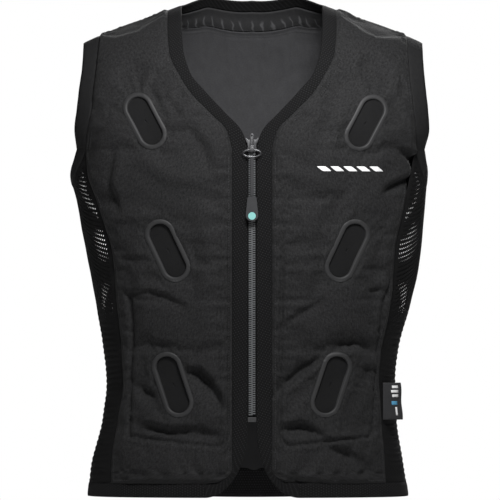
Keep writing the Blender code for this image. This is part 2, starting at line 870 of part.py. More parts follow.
def make_pull(metal, plastic, inlay):
    axis = pull_axis()
    hinge = bpy.data.objects.new("pull_hinge", None)
    hinge.location = axis
    bpy.context.scene.collection.objects.link(hinge)
    add_object("pull_ring", ring_bmesh(ring_half_width, ring_half_height, ring_wire), metal, hinge)
    strap_top = -2 * ring_half_height + ring_wire - touch_gap
    strap_low = strap_top - strap_length
    strap = box_bmesh(-strap_width / 2, strap_width / 2, -strap_thickness / 2, strap_thickness / 2,
                      strap_low, strap_top)
    bmesh.ops.bevel(strap, geom=strap.edges, offset=strap_bevel, segments=1, affect="EDGES")
    add_object("pull_strap", strap, plastic, hinge)

    grip_top = strap_low - touch_gap
    grip_low = grip_top - grip_length
    radius = grip_bottom_width / 2
    outline = [(grip_top_width / 2 - grip_corner, grip_top),
               (grip_corner - grip_top_width / 2, grip_top),
               (-grip_top_width / 2, grip_top - grip_corner)]
    for i in range(9):
        a = math.pi * i / 8
        outline.append((-radius * math.cos(a), grip_low + radius - radius * math.sin(a)))
    outline.append((grip_top_width / 2, grip_top - grip_corner))
    body = prism(outline, -grip_thickness / 2, grip_thickness / 2)
    grip = add_object("pull_grip", body, plastic, hinge)
    dot_z = grip_low + radius * 0.86
    pocket_depth = dot_thickness
    pocket = round_bmesh(dot_radius + touch_gap, dot_z, -grip_thickness, -grip_thickness / 2
                         + pocket_depth)
    add_boolean(grip, as_cutter(add_object("cut_grip", pocket, plastic, hinge)), "DIFFERENCE")
    front = -grip_thickness / 2 + pocket_depth - touch_gap
    disc = round_bmesh(dot_radius, dot_z, front - dot_thickness, front)
    add_object("grip_dot", disc, inlay, hinge)


def round_bmesh(radius, z, y0, y1):
    count = 24
    outline = []
    for i in range(count):
        a = 2 * math.pi * i / count
        outline.append((radius * math.cos(a), z + radius * math.sin(a)))
    return prism(outline, y0, y1)


def make_label(cloth):
    """Small tab that stands out from the side seam on the wearer's left."""
    z = hem_z + label_above_hem - label_height / 2
    low_z = z - label_height / 2
    x = seam_x(1, FRONT, low_z)
    point, normal = body_site(1, turn_at(1, FRONT, x, low_z), low_z)
    across = Vector((math.cos(math.radians(label_turn)), math.sin(math.radians(label_turn)), 0))
    start = point + normal * (mesh_outer + 0.7 * label_thickness) + across * 2 * label_thickness
    out = Vector((across.y, -across.x, 0))
    tab = bmesh.new()
    bmesh.ops.create_cube(tab, size=1.0)
    for vert in tab.verts:
        a = 0.0 if vert.co.x < 0 else label_width
        b = -label_thickness / 2 if vert.co.y < 0 else label_thickness / 2
        rise = vert.co.z * label_height
        spread = (0.5 - vert.co.z) * label_flare if a else 0.0
        vert.co = start + across * (a + spread) + out * b
        vert.co.z = z + rise
    add_object("side_label", tab, cloth)


def main():
    for obj in list(bpy.data.objects):
        bpy.data.objects.remove(obj, do_unlink=True)
    fabric = new_material("front_fabric", (0.028, 0.028, 0.030), 0.85)
    inset = new_material("window_fabric", (0.012, 0.012, 0.013), 0.9)
    back_cloth = new_material("back_fabric", (0.026, 0.026, 0.028), 0.85)
    lining = new_material("lining_fabric", (0.050, 0.050, 0.055), 0.8)
    knit = new_material("band_knit", (0.014, 0.014, 0.015), 0.9)
    mesh_knit = new_material("side_mesh", (0.010, 0.010, 0.011), 0.9)
    tape = new_material("zip_tape", (0.012, 0.012, 0.013), 0.85)
    coil = new_material("zip_coil", (0.09, 0.095, 0.10), 0.45)
    metal = new_material("slider_metal", (0.16, 0.16, 0.17), 0.4, 1.0)
    rubber = new_material("pull_rubber", (0.06, 0.062, 0.066), 0.6)
    inlay = new_material("inlay", (0.38, 0.73, 0.70), 0.4)
    label = new_material("label_cloth", (0.03, 0.03, 0.033), 0.8)

    make_front_panel(-1, "front_panel_right", fabric, inset)
    make_front_panel(1, "front_panel_left", fabric, inset)
    make_front_band(-1, "front_band_right", knit)
    make_front_band(1, "front_band_left", knit)
    make_side_panel(-1, "side_panel_right", mesh_knit)
    make_side_panel(1, "side_panel_left", mesh_knit)
    make_armhole_band(-1, "armhole_band_right", knit)
    make_armhole_band(1, "armhole_band_left", knit)
    make_back(back_cloth, lining, knit)
    make_neck_band(knit)
    make_hem_bands(knit)
    make_zip(tape, coil, metal)
    make_slider(metal)
    make_pull(metal, rubber, inlay)
    make_label(label)


main()
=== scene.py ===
import math

import bmesh
import bpy
import numpy as np
from mathutils import Matrix, Vector


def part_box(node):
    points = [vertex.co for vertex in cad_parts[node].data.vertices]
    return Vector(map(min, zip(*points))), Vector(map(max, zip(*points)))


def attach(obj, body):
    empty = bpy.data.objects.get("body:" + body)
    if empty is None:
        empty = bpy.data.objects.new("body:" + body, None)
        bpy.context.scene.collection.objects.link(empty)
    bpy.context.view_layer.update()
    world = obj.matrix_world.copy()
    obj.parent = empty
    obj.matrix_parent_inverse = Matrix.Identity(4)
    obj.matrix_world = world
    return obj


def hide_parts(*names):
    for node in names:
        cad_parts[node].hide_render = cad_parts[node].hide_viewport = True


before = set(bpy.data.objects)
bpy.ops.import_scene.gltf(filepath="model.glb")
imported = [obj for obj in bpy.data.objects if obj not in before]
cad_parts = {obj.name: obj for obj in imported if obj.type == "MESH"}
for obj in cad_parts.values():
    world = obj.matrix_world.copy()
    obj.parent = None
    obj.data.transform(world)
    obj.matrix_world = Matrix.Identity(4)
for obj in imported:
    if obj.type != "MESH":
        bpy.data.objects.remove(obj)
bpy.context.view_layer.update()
print("frame loaded")

front, back = -1, 1
wearerRight, wearerLeft = -1, 1
sideNames = {wearerRight: "right", wearerLeft: "left"}

# The body form under the cloth, as the CAD has it
form = dict(
    chestHalfWidth=0.220, depth={front: 0.135, back: 0.130},
    underarmZ=-0.166, hemZ=-0.587, backDrop=0.005, power=2.5,
    shoulderDrop=0.036, armholeBottomZ=-0.193,
    armholeDepth={front: 0.066, back: 0.062}, armholeBand=0.0185,
    neckHalfWidth=0.0866, neckBackTurn=0.32, neckBand=0.0162,
    zipGapHalf=0.0055, zipBand=0.019, hemBand=0.0165,
    cornerWidth=0.033, cornerHeight=0.018, cutawayWidth=0.052, cutawayHeight=0.085,
    hemFacing=0.038,
)
underarmZ, hemZ = form["underarmZ"], form["hemZ"]
sideLength = underarmZ - hemZ
hemSeamZ = hemZ + form["hemBand"]
panelEdgeX = form["zipGapHalf"] + form["zipBand"]
neckPanelWidth = form["neckHalfWidth"] + form["neckBand"]

# Height share, half widths on -X and +X, depths in front and behind
sectionTable = (
    (0.00, 1.000, 0.985, 1.000, 1.000),
    (0.07, 1.004, 0.972, 1.000, 0.990),
    (0.15, 0.970, 0.959, 0.990, 0.970),
    (0.29, 0.920, 0.937, 0.965, 0.920),
    (0.44, 0.865, 0.882, 0.920, 0.860),
    (0.58, 0.821, 0.809, 0.875, 0.820),
    (0.67, 0.805, 0.793, 0.860, 0.810),
    (0.78, 0.826, 0.799, 0.870, 0.840),
    (0.90, 0.886, 0.836, 0.900, 0.920),
    (1.00, 0.909, 0.865, 0.920, 0.960),
)
# Height share, side seam in front and behind as shares of the half width
seamTable = (
    (0.00, 0.905, 0.900),
    (0.07, 0.895, 0.885),
    (0.15, 0.876, 0.860),
    (0.29, 0.835, 0.830),
    (0.44, 0.859, 0.820),
    (0.58, 0.873, 0.820),
    (0.67, 0.875, 0.820),
    (0.78, 0.890, 0.830),
    (0.90, 0.870, 0.830),
    (1.00, 0.850, 0.820),
)
# Climb, armhole edge on -X and +X, width of the armhole band
armholeTable = (
    (0.00, 1.000, 1.000, 0.63),
    (0.12, 1.012, 1.026, 0.92),
    (0.25, 0.998, 1.018, 1.00),
    (0.38, 0.986, 1.006, 1.00),
    (0.54, 0.970, 0.995, 1.00),
    (0.78, 0.964, 0.990, 1.05),
    (1.00, 0.964, 0.990, 1.11),
)
# Share of the way to the armhole edge, height of the shoulder ridge
ridgeTable = (
    (0.00, 1.20),
    (0.25, 1.02),
    (0.34, 0.64),
    (0.42, 0.28),
    (0.50, 0.10),
    (0.56, -0.03),
    (0.61, -0.14),
    (0.72, -0.35),
    (0.82, -0.56),
    (1.00, -1.00),
)
# Climb, spread of the free edge and of the panel edge round the neck
neckTable = (
    (0.000, 0.000, 0.000),
    (0.047, 0.053, 0.050),
    (0.076, 0.112, 0.100),
    (0.137, 0.337, 0.340),
    (0.226, 0.632, 0.610),
    (0.335, 0.860, 0.805),
    (0.485, 0.966, 0.970),
    (0.670, 0.995, 1.000),
    (1.000, 1.000, 1.000),
)


def readCurve(table, column, at):
    # smooth reading of a table, the same rule as in the CAD
    xs = np.array([row[0] for row in table])
    ys = np.array([row[column] for row in table])
    at = np.clip(np.asarray(at, float), xs[0], xs[-1])
    steps = np.diff(ys) / np.diff(xs)
    tangent = np.zeros(len(xs))
    tangent[0], tangent[-1] = steps[0], steps[-1]
    for i in range(1, len(xs) - 1):
        if steps[i - 1] * steps[i] > 0:
            tangent[i] = 2 * steps[i - 1] * steps[i] / (steps[i - 1] + steps[i])
    index = np.clip(np.searchsorted(xs, at) - 1, 0, len(xs) - 2)
    width = xs[index + 1] - xs[index]
    t = (at - xs[index]) / width
    start = (1 + 2 * t) * (1 - t) ** 2 * ys[index] + t * (1 - t) ** 2 * width * tangent[index]
    end = t * t * (3 - 2 * t) * ys[index + 1] - t * t * (1 - t) * width * tangent[index + 1]
    return start + end


def mix(a, b, share):
    return a + (b - a) * share


def smooth(low, high, value):
    t = np.clip((value - low) / (high - low), 0, 1)
    return t * t * (3 - 2 * t)


def bell(distance, reach):
    return np.exp(-(distance / reach) ** 2)


def powerLeg(leg):
    leg = np.minimum(np.abs(leg), 1.0)
    return np.maximum(1.0 - leg ** form["power"], 0.0) ** (1.0 / form["power"])


def halfWidth(side, z):
    share = (underarmZ - z) / sideLength
    return form["chestHalfWidth"] * readCurve(sectionTable, 1 if side < 0 else 2, share)


def depthAt(face, z):
    column = 3 if face == front else 4
    return form["depth"][face] * readCurve(sectionTable, column, (underarmZ - z) / sideLength)


def bodyPoint(side, turn, z):
    turn, z = np.broadcast_arrays(np.asarray(turn, float), np.asarray(z, float))
    radians = np.radians(turn)
    along = np.abs(np.cos(radians)) ** (2 / form["power"])
    across = np.abs(np.sin(radians)) ** (2 / form["power"])
    y = np.where(turn <= 90, -depthAt(front, z) * along, depthAt(back, z) * along)
    return np.stack([side * halfWidth(side, z) * across, y, z], -1)


def turnAt(side, face, x, z):
    share = np.minimum(np.abs(x) / halfWidth(side, z), 1.0)
    turn = np.degrees(np.arcsin(share ** (form["power"] / 2)))
    return turn if face == front else 180 - turn


def bodySite(side, face, x, z):
    return bodyPoint(side, turnAt(side, face, x, z), z)


def armholeSize(face):
    middle = (form["armholeBottomZ"] - form["shoulderDrop"]) / 2
    halfHeight = (-form["shoulderDrop"] - form["armholeBottomZ"]) / 2
    return middle, halfHeight, form["armholeDepth"][face]


def edgeShare(face, climb):
    middle, halfHeight, halfDepth = armholeSize(face)
    climb = np.minimum(climb, 0.999)
    rise = np.sin(np.radians(90 * climb))
    z = underarmZ + (-form["shoulderDrop"] - underarmZ) * rise
    reach = np.sqrt(np.maximum(1 - ((z - middle) / halfHeight) ** 2, 0.0))
    return powerLeg(halfDepth * reach / (form["depth"][face] * np.cos(np.radians(90 * climb))))


def edgeX(side, face, climb):
    start = halfWidth(side, underarmZ) * edgeShare(face, 0.0)
    frontStart = halfWidth(side, underarmZ) * edgeShare(front, 0.0)
    spread = readCurve(armholeTable, 1 if side < 0 else 2, climb)
    return ((1 - climb) * start + climb * frontStart) * spread


def ridgeZ(side, x):
    share = np.abs(x) / edgeX(side, front, 1.0)
    return form["shoulderDrop"] * readCurve(ridgeTable, 1, share)


def archPoint(side, face, x, climb):
    x, climb = np.broadcast_arrays(np.abs(np.asarray(x, float)), np.asarray(climb, float))
    angle = np.radians(90 * climb)
    share = x / edgeX(side, face, climb) * edgeShare(face, climb)
    y = face * form["depth"][face] * np.cos(angle) * powerLeg(share)
    z = underarmZ + (ridgeZ(side, x) - underarmZ) * np.sin(angle)
    return np.stack([side * x, y, z], -1)


def freeEdgeX(climb):
    return mix(form["zipGapHalf"], form["neckHalfWidth"], readCurve(neckTable, 1, climb))


def neckPanelX(climb):
    return mix(panelEdgeX, neckPanelWidth, readCurve(neckTable, 2, climb))


def armholeInnerX(side, face, climb):
    return edgeX(side, face, climb) - form["armholeBand"] * readCurve(armholeTable, 3, climb)


def seamX(side, face, z):
    share = (underarmZ - z) / sideLength
    start = armholeInnerX(side, face, 0.0) / halfWidth(side, underarmZ)
    column = 1 if face == front else 2
    shift = (start - seamTable[0][column]) * np.maximum(1 - share / seamTable[2][0], 0.0)
    return halfWidth(side, z) * (readCurve(seamTable, column, share) + shift)


def panelInnerX(z):
    rise = z - hemSeamZ
    angle = np.arcsin(np.clip(1 - rise / form["cornerHeight"], 0.0, 1.0))
    return panelEdgeX + form["cornerWidth"] * (1 - np.cos(angle))


def arcZ(turn, arcSize):
    # height of an arc under the armhole, whose middle, half height and half depth differ by face
    z = np.zeros_like(turn)
    for face in (front, back):
        middle, halfHeight, halfDepth = arcSize(face)
        along = np.abs(np.cos(np.radians(turn))) ** (2 / form["power"])
        y = depthAt(face, underarmZ) * along
        low = middle - halfHeight * np.sqrt(np.maximum(1 - (y / halfDepth) ** 2, 0.0))
        z = np.where((turn <= 90) == (face == front), low, z)
    return z


def sideTopZ(side, turn):
    # top of the side panel, a wider copy of the armhole's lower arc
    def wideArc(face):
        middle, halfHeight, _ = armholeSize(face)
        wideHeight = halfHeight + form["armholeBand"]
        corner = bodySite(side, face, armholeInnerX(side, face, 0.0), underarmZ)
        sine = math.sqrt(1 - ((middle - underarmZ) / wideHeight) ** 2)
        return middle, wideHeight, abs(corner[1]) / sine

    return arcZ(turn, wideArc)


# Mesh making

def gridNormals(points):
    normals = np.cross(np.gradient(points, axis=1), np.gradient(points, axis=0))
    normals = normals / np.maximum(np.linalg.norm(normals, axis=-1, keepdims=True), 1e-12)
    # outward means away from the middle of the body
    outward = points - np.array([0, 0, -0.25])
    outward[..., 2] = np.where(points[..., 2] > -0.1, outward[..., 2], 0)
    return -normals if np.sum(normals * outward) < 0 else normals


def gridLengths(points):
    # arc lengths along rows and columns, for the weave's coordinates
    stepsU = np.linalg.norm(np.diff(points, axis=1), axis=-1)
    stepsV = np.linalg.norm(np.diff(points, axis=0), axis=-1)
    u = np.concatenate([np.zeros((len(points), 1)), np.cumsum(stepsU, 1)], 1)
    v = np.concatenate([np.zeros((1, points.shape[1])), np.cumsum(stepsV, 0)], 0)
    return u, v


def linkedObject(name, data):
    obj = bpy.data.objects.new(name, data)
    bpy.context.scene.collection.objects.link(obj)
    return obj


def solidObject(name, bm, bevelWidth=None, segments=3):
    bmesh.ops.recalc_face_normals(bm, faces=bm.faces)
    mesh = bpy.data.meshes.new(name)
    bm.to_mesh(mesh)
    bm.free()
    mesh.shade_smooth()
    obj = linkedObject(name, mesh)
    if bevelWidth:
        softenEdges(obj, bevelWidth, segments)
    return obj


def softenEdges(obj, width, segments=3, degrees=30):
    bevel = obj.modifiers.new("bevel", "BEVEL")
    bevel.width, bevel.segments, bevel.limit_method = width, segments, "ANGLE"
    bevel.angle_limit = math.radians(degrees)


def gridQuads(rows, cols, ring=False):
    index = np.arange(rows * cols).reshape(rows, cols)
    if ring:
        index = np.vstack([index, index[:1]])
    return np.stack([index[:-1, :-1], index[:-1, 1:], index[1:, 1:], index[1:, :-1]], -1).reshape(-1, 4)


def closedLayer(name, top, low, normals, quads, uv):
    # cloth between an outer and an inner sheet of points, with walls along every free edge
    corners = top[quads]
    facing = np.cross(corners[:, 1] - corners[:, 0], corners[:, 3] - corners[:, 0])
    if np.sum(facing * normals[quads[:, 0]]) < 0:
        quads = quads[:, ::-1]
    count = len(top)
    edges = np.concatenate([quads[:, [k, (k + 1) % 4]] for k in range(4)])
    rim = edges[~np.isin(edges[:, 0] * count + edges[:, 1], edges[:, 1] * count + edges[:, 0])]
    walls = np.stack([rim[:, 1], rim[:, 0], rim[:, 0] + count, rim[:, 1] + count], -1)
    faces = np.concatenate([quads, quads[:, ::-1] + count, walls])
    used = np.unique(faces)
    remap = np.full(2 * count, -1)
    remap[used] = np.arange(len(used))
    mesh = bpy.data.meshes.new(name)
    mesh.from_pydata(np.concatenate([top, low])[used].tolist(), [], remap[faces].tolist())
    layer = mesh.uv_layers.new(name="weave")
    loops = np.zeros(len(mesh.loops), int)
    mesh.loops.foreach_get("vertex_index", loops)
    layer.data.foreach_set("uv", np.concatenate([uv, uv])[used][loops].astype(np.float32).reshape(-1))
    mesh.shade_smooth()
    return linkedObject(name, mesh)


def shellObject(name, points, normals, outer, inner, keep=None, ring=False, uv=None):
    # cloth on a grid, whose outer and inner heights may vary over it
    quads = gridQuads(*points.shape[:2], ring)
    if keep is not None:
        quads = quads[keep.reshape(-1)]
    sheets = []
    for height in (outer, inner):
        height = np.broadcast_to(np.asarray(height, float), points.shape[:2])
        sheets.append((points + normals * height[..., None]).reshape(-1, 3))
    flat = np.stack(gridLengths(points) if uv is None else uv, -1).reshape(-1, 2)
    return closedLayer(name, *sheets, normals.reshape(-1, 3), quads, flat)


def finishPiece(obj, finish, body="vest", nodes=()):
    obj.data.materials.clear()
    obj.data.materials.append(materials[finish])
    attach(obj, body)
    if nodes:
        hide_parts(*nodes)


def declareCut(obj, width, length, area):
    area = min(area, width * length)
    print(f"sheet {obj.name}: flat {width:.3f} x {length:.3f} m, area {area:.4f} m2")


def declareSheet(obj, points):
    # the flat size is the greatest width and length along the grid
    u, v = gridLengths(points)
    area = float(np.sum(np.diff(u, axis=1)[:-1] * np.diff(v, axis=0)[:, :-1]))
    declareCut(obj, float(u[:, -1].max()), float(v[-1, :].max()), area)


# Grids of the cloth pieces

def frontPanelGrid(side, rowStep=0.0021, columns=92):
    climbs = np.linspace(1.0, 0.0, int(0.245 / rowStep))
    zs = np.linspace(underarmZ, hemSeamZ, int(0.405 / rowStep))[1:]
    low = np.sin(np.linspace(0, math.pi / 2, 9))[1:-1] * form["cornerHeight"] + hemSeamZ
    zs = np.sort(np.concatenate([zs, low]))[::-1]
    shares = np.linspace(0, 1, columns)
    upper = []
    for climb in climbs:
        x = mix(neckPanelX(climb), armholeInnerX(side, front, climb), shares)
        upper.append(archPoint(side, front, x, climb))
    lower = []
    for z in zs:
        x = mix(panelInnerX(z), seamX(side, front, z), shares)
        lower.append(bodySite(side, front, x, z))
    return np.array(upper + lower)


def turnBetween(column, frontTurn, backTurn):
    # column 0 to 1 runs from the front seam over the side to the back seam
    return np.where(column <= 0.5, mix(frontTurn, 90, column * 2), mix(90, backTurn, column * 2 - 1))


def underarmTurns(side, edge):
    return [turnAt(side, face, edge(side, face, 0.0), underarmZ) for face in (front, back)]


def sidePanelSite(side, column, share):
    # share 0 to 1 runs from the armhole band to the hem seam
    topTurn = turnBetween(column, *underarmTurns(side, armholeInnerX))
    z = mix(sideTopZ(side, topTurn), hemSeamZ, share)
    low = [turnAt(side, face, seamX(side, face, z), z) for face in (front, back)]
    return bodyPoint(side, turnBetween(column, *low), z)


def armholeBandGrid(side, stations=50, across=9):
    shares = np.linspace(0, 1, across)

    def overChest(face, climbs):
        return [archPoint(side, face, mix(edgeX(side, face, c), armholeInnerX(side, face, c), shares), c)
                for c in climbs]

    rows = overChest(front, np.linspace(1.0, 0.0, stations))
    for column in np.linspace(0, 1, stations)[1:-1]:
        inner, outer = (turnBetween(column, *underarmTurns(side, edge)) for edge in (armholeInnerX, edgeX))
        z = mix(arcZ(outer, armholeSize), sideTopZ(side, inner), shares)
        rows.append(bodyPoint(side, mix(outer, inner, shares), z))
    return np.array(rows + overChest(back, np.linspace(0.0, 1.0, stations)[:-1]))


def roundCorner(x, z, width, height, angle):
    return x + width * (1 - math.cos(angle)), z + height * (1 - math.sin(angle))


def frontBandGrid(side, across=13):
    shares = np.linspace(0, 1, across)
    rows = []
    for climb in np.linspace(1.0, 0.0, 120):
        rows.append(archPoint(side, front, mix(freeEdgeX(climb), neckPanelX(climb), shares), climb))
    corner = (panelEdgeX, hemSeamZ, form["cornerWidth"], form["cornerHeight"])
    cutaway = (form["zipGapHalf"], hemZ, form["cutawayWidth"], form["cutawayHeight"])
    cornerTop = hemSeamZ + form["cornerHeight"]
    for z in np.linspace(underarmZ, cornerTop, 190)[1:]:
        rise = (z - hemZ) / form["cutawayHeight"]
        freeX, _ = roundCorner(*cutaway, math.asin(1 - rise) if rise < 1 else 0.0)
        rows.append(bodySite(side, front, mix(freeX, panelEdgeX, shares), z))
    startAngle = math.asin(1 - (cornerTop - hemZ) / form["cutawayHeight"])
    for t in np.linspace(0, 1, 26)[1:]:
        panelX, panelZ = roundCorner(*corner, t * math.pi / 2)
        freeX, freeZ = roundCorner(*cutaway, mix(startAngle, math.pi / 2, t))
        rows.append(bodySite(side, front, mix(freeX, panelX, shares), mix(freeZ, panelZ, shares)))
    return np.array(rows)


def neckClimb(share, margin):
    perClimb = math.pi / 2 * math.hypot(form["depth"][back], underarmZ) / math.sqrt(2)
    start = 1 - form["neckBackTurn"] - margin / perClimb
    return 1 - (1 - start) * np.maximum(1 - share ** 2, 0.0) ** 0.6


def backColumns(perSide):
    # side, share along the neck and share along the shoulder of every column
    neck = np.sin(np.linspace(0, math.pi / 2, perSide))
    shoulder = np.linspace(0, 1, perSide + 1)[1:]
    right = [(1, n, 0.0) for n in neck] + [(1, 1.0, s) for s in shoulder]
    left = [(-1, n, s) for _, n, s in right[1:]][::-1]
    return np.array(left + right).T


def bothSides(sides, sideRow):
    return np.where((sides > 0)[:, None], sideRow(1), sideRow(-1))


def backGrid(perSide=26, rowStep=0.004):
    columns = backColumns(perSide)
    sides, necks, shoulders = columns
    tops = np.where(shoulders == 0, neckClimb(necks, form["neckBand"]), 1.0)
    neckX = neckPanelWidth * necks
    rows = []
    for climb in np.linspace(1.0, 0.0, int(0.25 / rowStep))[:-1]:
        level = climb * tops
        rows.append(bothSides(sides, lambda side: archPoint(
            side, back, mix(neckX, armholeInnerX(side, back, level), shoulders), level)))
    for share in np.linspace(0, 1, int(0.41 / rowStep)):
        rows.append(backLowRow(columns, form["hemBand"], share))
    return np.array(rows)


def backLowRow(columns, lowRise, share):
    sides, necks, shoulders = columns
    neckX = neckPanelWidth * necks

    def sideRow(side):
        width = seamX(side, back, mix(underarmZ, hemZ + lowRise, share))
        start = armholeInnerX(side, back, 0.0)
        x = mix(neckX, start, shoulders) / start * width
        low = hemZ + lowRise - form["backDrop"] * (1 - (x / width) ** 2)
        return bodySite(side, back, x, mix(underarmZ, low, share))

    return bothSides(sides, sideRow)


def neckRingGrid(margins, perSide=34):
    shares = np.sin(np.linspace(0, math.pi / 2, perSide))
    places = [(-1, s) for s in shares[:0:-1]] + [(1, s) for s in shares]
    return np.array([[archPoint(side, back, (form["neckHalfWidth"] + margin) * share, neckClimb(share, margin))
                      for margin in margins] for side, share in places])


def hemGrid(side, across=9):
    drops = np.linspace(0, 1, across)
    cornerX, freeX = panelEdgeX + form["cornerWidth"], form["zipGapHalf"] + form["cutawayWidth"]
    seam = seamX(side, front, hemSeamZ)
    zs = mix(hemSeamZ, hemZ, drops)
    rows = []
    for share in np.linspace(0, 1, 60):
        rows.append(bodySite(side, front, mix(mix(cornerX, seam, share), mix(freeX, seam, share), drops), zs))
    turnFront = turnAt(side, front, seam, hemSeamZ)
    turnBack = turnAt(side, back, seamX(side, back, zs), zs)
    for column in np.linspace(0, 1, 80)[1:]:
        rows.append(bodyPoint(side, turnBetween(column, turnFront, turnBack), zs))
    return np.array(rows)


def backHemGrid(riseHigh, riseLow, across=9, perSide=40):
    columns = backColumns(perSide)
    return np.array([backLowRow(columns, mix(riseHigh, riseLow, s), 1.0) for s in np.linspace(0, 1, across)])


# Folds of the front, seen from in front: points (x, z) in mm, width and height in mm, tilt
foldsRightPanel = (
    (((-147, -340), (-124, -338), (-106, -343), (-82, -355)), 6.0, -1.6, 1.2),
    (((-124, -398), (-108, -404), (-95, -411)), 9.0, -1.2, 0.8),
    (((-96, -441), (-80, -436), (-66, -436), (-55, -446), (-45, -460), (-36, -478)), 9.0, -4.2, 2.6),
    (((-137, -453), (-118, -465)), 7.0, -2.0, 1.0),
    (((-124, -503), (-100, -507), (-70, -506), (-42, -512)), 9.0, -3.2, 1.4),
    (((-125, -505), (-85, -512), (-45, -518)), 10.0, -1.8, 1.0),
    (((-124, -20), (-106, -29)), 9.0, -1.5, 0.9),
    (((-124, -93), (-106, -127)), 9.0, -1.2, 1.0),
    (((-76, -142), (-57, -166), (-50, -190)), 12.0, -1.5, 1.2),
    (((-165, -250), (-130, -246), (-95, -262)), 14.0, 1.6, -0.8),
    (((-150, -300), (-142, -360), (-144, -410)), 14.0, -1.3, 0.7),
    (((-60, -230), (-52, -300), (-60, -372)), 18.0, 1.2, 0.5),
    (((-130, -180), (-100, -200), (-60, -205)), 16.0, 1.2, 0.9),
    (((-165, -170), (-172, -205), (-160, -240)), 8.0, -1.8, 1.2),
)
foldsLeftPanel = (
    (((183, -170), (196, -178), (207, -194)), 8.0, -4.0, 2.2),
    (((160, -217), (181, -204), (199, -201)), 8.0, -3.2, 1.8),
    (((40, -379), (58, -364), (83, -351)), 7.5, -1.5, 1.2),
    (((141, -338), (155, -336)), 6.0, -1.6, 1.0),
    (((143, -412), (131, -402), (113, -404), (89, -418), (65, -431), (46, -446), (26, -463)), 8.5, -4.0, 2.4),
    (((132, -430), (142, -430)), 5.0, -1.4, 0.9),
    (((122, -451), (134, -458)), 5.0, -1.4, 0.9),
    (((38, -505), (58, -500), (77, -508), (89, -516)), 8.0, -3.0, 1.9),
    (((90, -526), (112, -533), (136, -548)), 9.0, -3.2, 2.0),
    (((46, -566), (83, -571)), 8.0, -2.4, 1.2),
    (((168, -50), (180, -57)), 9.0, -1.1, 0.8),
    (((120, -95), (100, -150), (84, -200)), 15.0, 1.3, 0.8),
    (((60, -210), (72, -290), (60, -350)), 18.0, 1.2, -0.6),
    (((165, -240), (150, -300), (146, -360)), 12.0, -1.2, 0.9),
)
# Bonded seam inside each front panel: points (x, z) in mm
weldRightPanel = (
    (-153, -337), (-147, -349), (-144, -380), (-145, -440), (-148, -514), (-138, -515), (-90, -521),
    (-39, -526), (-33, -520), (-30, -505), (-30, -330), (-31, -200),
)
weldLeftPanel = (
    (168, -306), (165, -330), (158, -349), (152, -400), (147, -471), (146, -508), (140, -515),
    (100, -519), (43, -525), (36, -518), (33, -500), (36, -330), (38, -200),
)
folds = {wearerRight: foldsRightPanel, wearerLeft: foldsLeftPanel}
welds = {wearerRight: weldRightPanel, wearerLeft: weldLeftPanel}
# How a fold's line becomes a relief: gain, width of its crest, what is left of it at its ends
fold = dict(gain=1.5, crest=0.6, ends=0.35, tiltReach=1.6)
# Soft unevenness of the front cloth: height, seed, pitch
frontRipples = ((0.0011, 3, 0.085), (0.0004, 8, 0.034))
# A bonded seam is a groove with a lip on either side, and runs out at its ends
weld = dict(depth=0.0024, width=0.0020, lip=0.0012, lipAt=0.0055, lipWidth=0.0032, runOut=0.08)


def besideLine(points, x, z):
    # distance and signed side of each place from a broken line, and its share along it
    best = np.full(x.shape, 1e9)
    signed = np.zeros(x.shape)
    along = np.zeros(x.shape)
    line = np.array(points, float) / 1000
    total = len(line) - 1
    for i in range(total):
        ax, az = line[i]
        bx, bz = line[i + 1]
        dx, dz = bx - ax, bz - az
        size = math.hypot(dx, dz)
        t = np.clip(((x - ax) * dx + (z - az) * dz) / size ** 2, 0, 1)
        px, pz = x - (ax + t * dx), z - (az + t * dz)
        distance = np.hypot(px, pz)
        near = distance < best
        best = np.where(near, distance, best)
        signed = np.where(near, (px * -dz + pz * dx) / size, signed)
        along = np.where(near, (i + t) / total, along)
    return best, signed, along


def waves(x, z, seed, scale):
    # soft unevenness from a few crossing sine waves
    rng = np.random.default_rng(seed)
    total = np.zeros(x.shape)
    for _ in range(9):
        angle, phase = rng.uniform(0, math.tau), rng.uniform(0, math.tau)
        pitch = scale * rng.uniform(0.6, 1.8)
        total += np.sin((x * math.cos(angle) + z * math.sin(angle)) * math.tau / pitch + phase)
    return total / 9


def frontRelief(side, x, z):
    relief = sum(height * waves(x, z, seed + side, pitch) for height, seed, pitch in frontRipples)
    for points, width, height, tilt in folds[side]:
        distance, signed, along = besideLine(points, x, z)
        width = width / 1000
        crest = fold["gain"] * bell(distance, width * fold["crest"])
        soft = np.sin(np.clip(along, 0.02, 0.98) * math.pi) ** 0.6
        soft = fold["ends"] + (1 - fold["ends"]) * soft
        ridge = tilt * signed / width * np.exp(0.5 - (distance / width) ** 2 / fold["tiltReach"])
        relief += fold["gain"] * soft * (height * crest + ridge) / 1000
    distance, _, along = besideLine(welds[side], x, z)
    taper = smooth(0, weld["runOut"], np.minimum(along, 1 - along))
    relief -= weld["depth"] * taper * bell(distance, weld["width"])
    relief += weld["lip"] * taper * bell(distance - weld["lipAt"], weld["lipWidth"])
    calm = 1 - smooth(-0.075, -0.030, z) * 0.8
    for row in windowsOf(side):
        # the bonded frames keep the cloth flat round them
        calm = calm * (0.12 + 0.88 * smooth(0.003, 0.017, slotDistance(row, x, z)))
    return relief * calm


def climbAt(side, x, z):
    rise = (z - underarmZ) / (ridgeZ(side, x) - underarmZ)
    return np.degrees(np.arcsin(np.clip(rise, 0, 1))) / 90


def frontSurface(side, x, z):
    # point of the form's front straight behind (x, z)
    x, z = np.broadcast_arrays(np.abs(np.asarray(x, float)), np.asarray(z, float))
    low = bodySite(side, front, x, z)
    high = archPoint(side, front, x, climbAt(side, x, z))
    return np.where((z > underarmZ)[..., None], high, low)


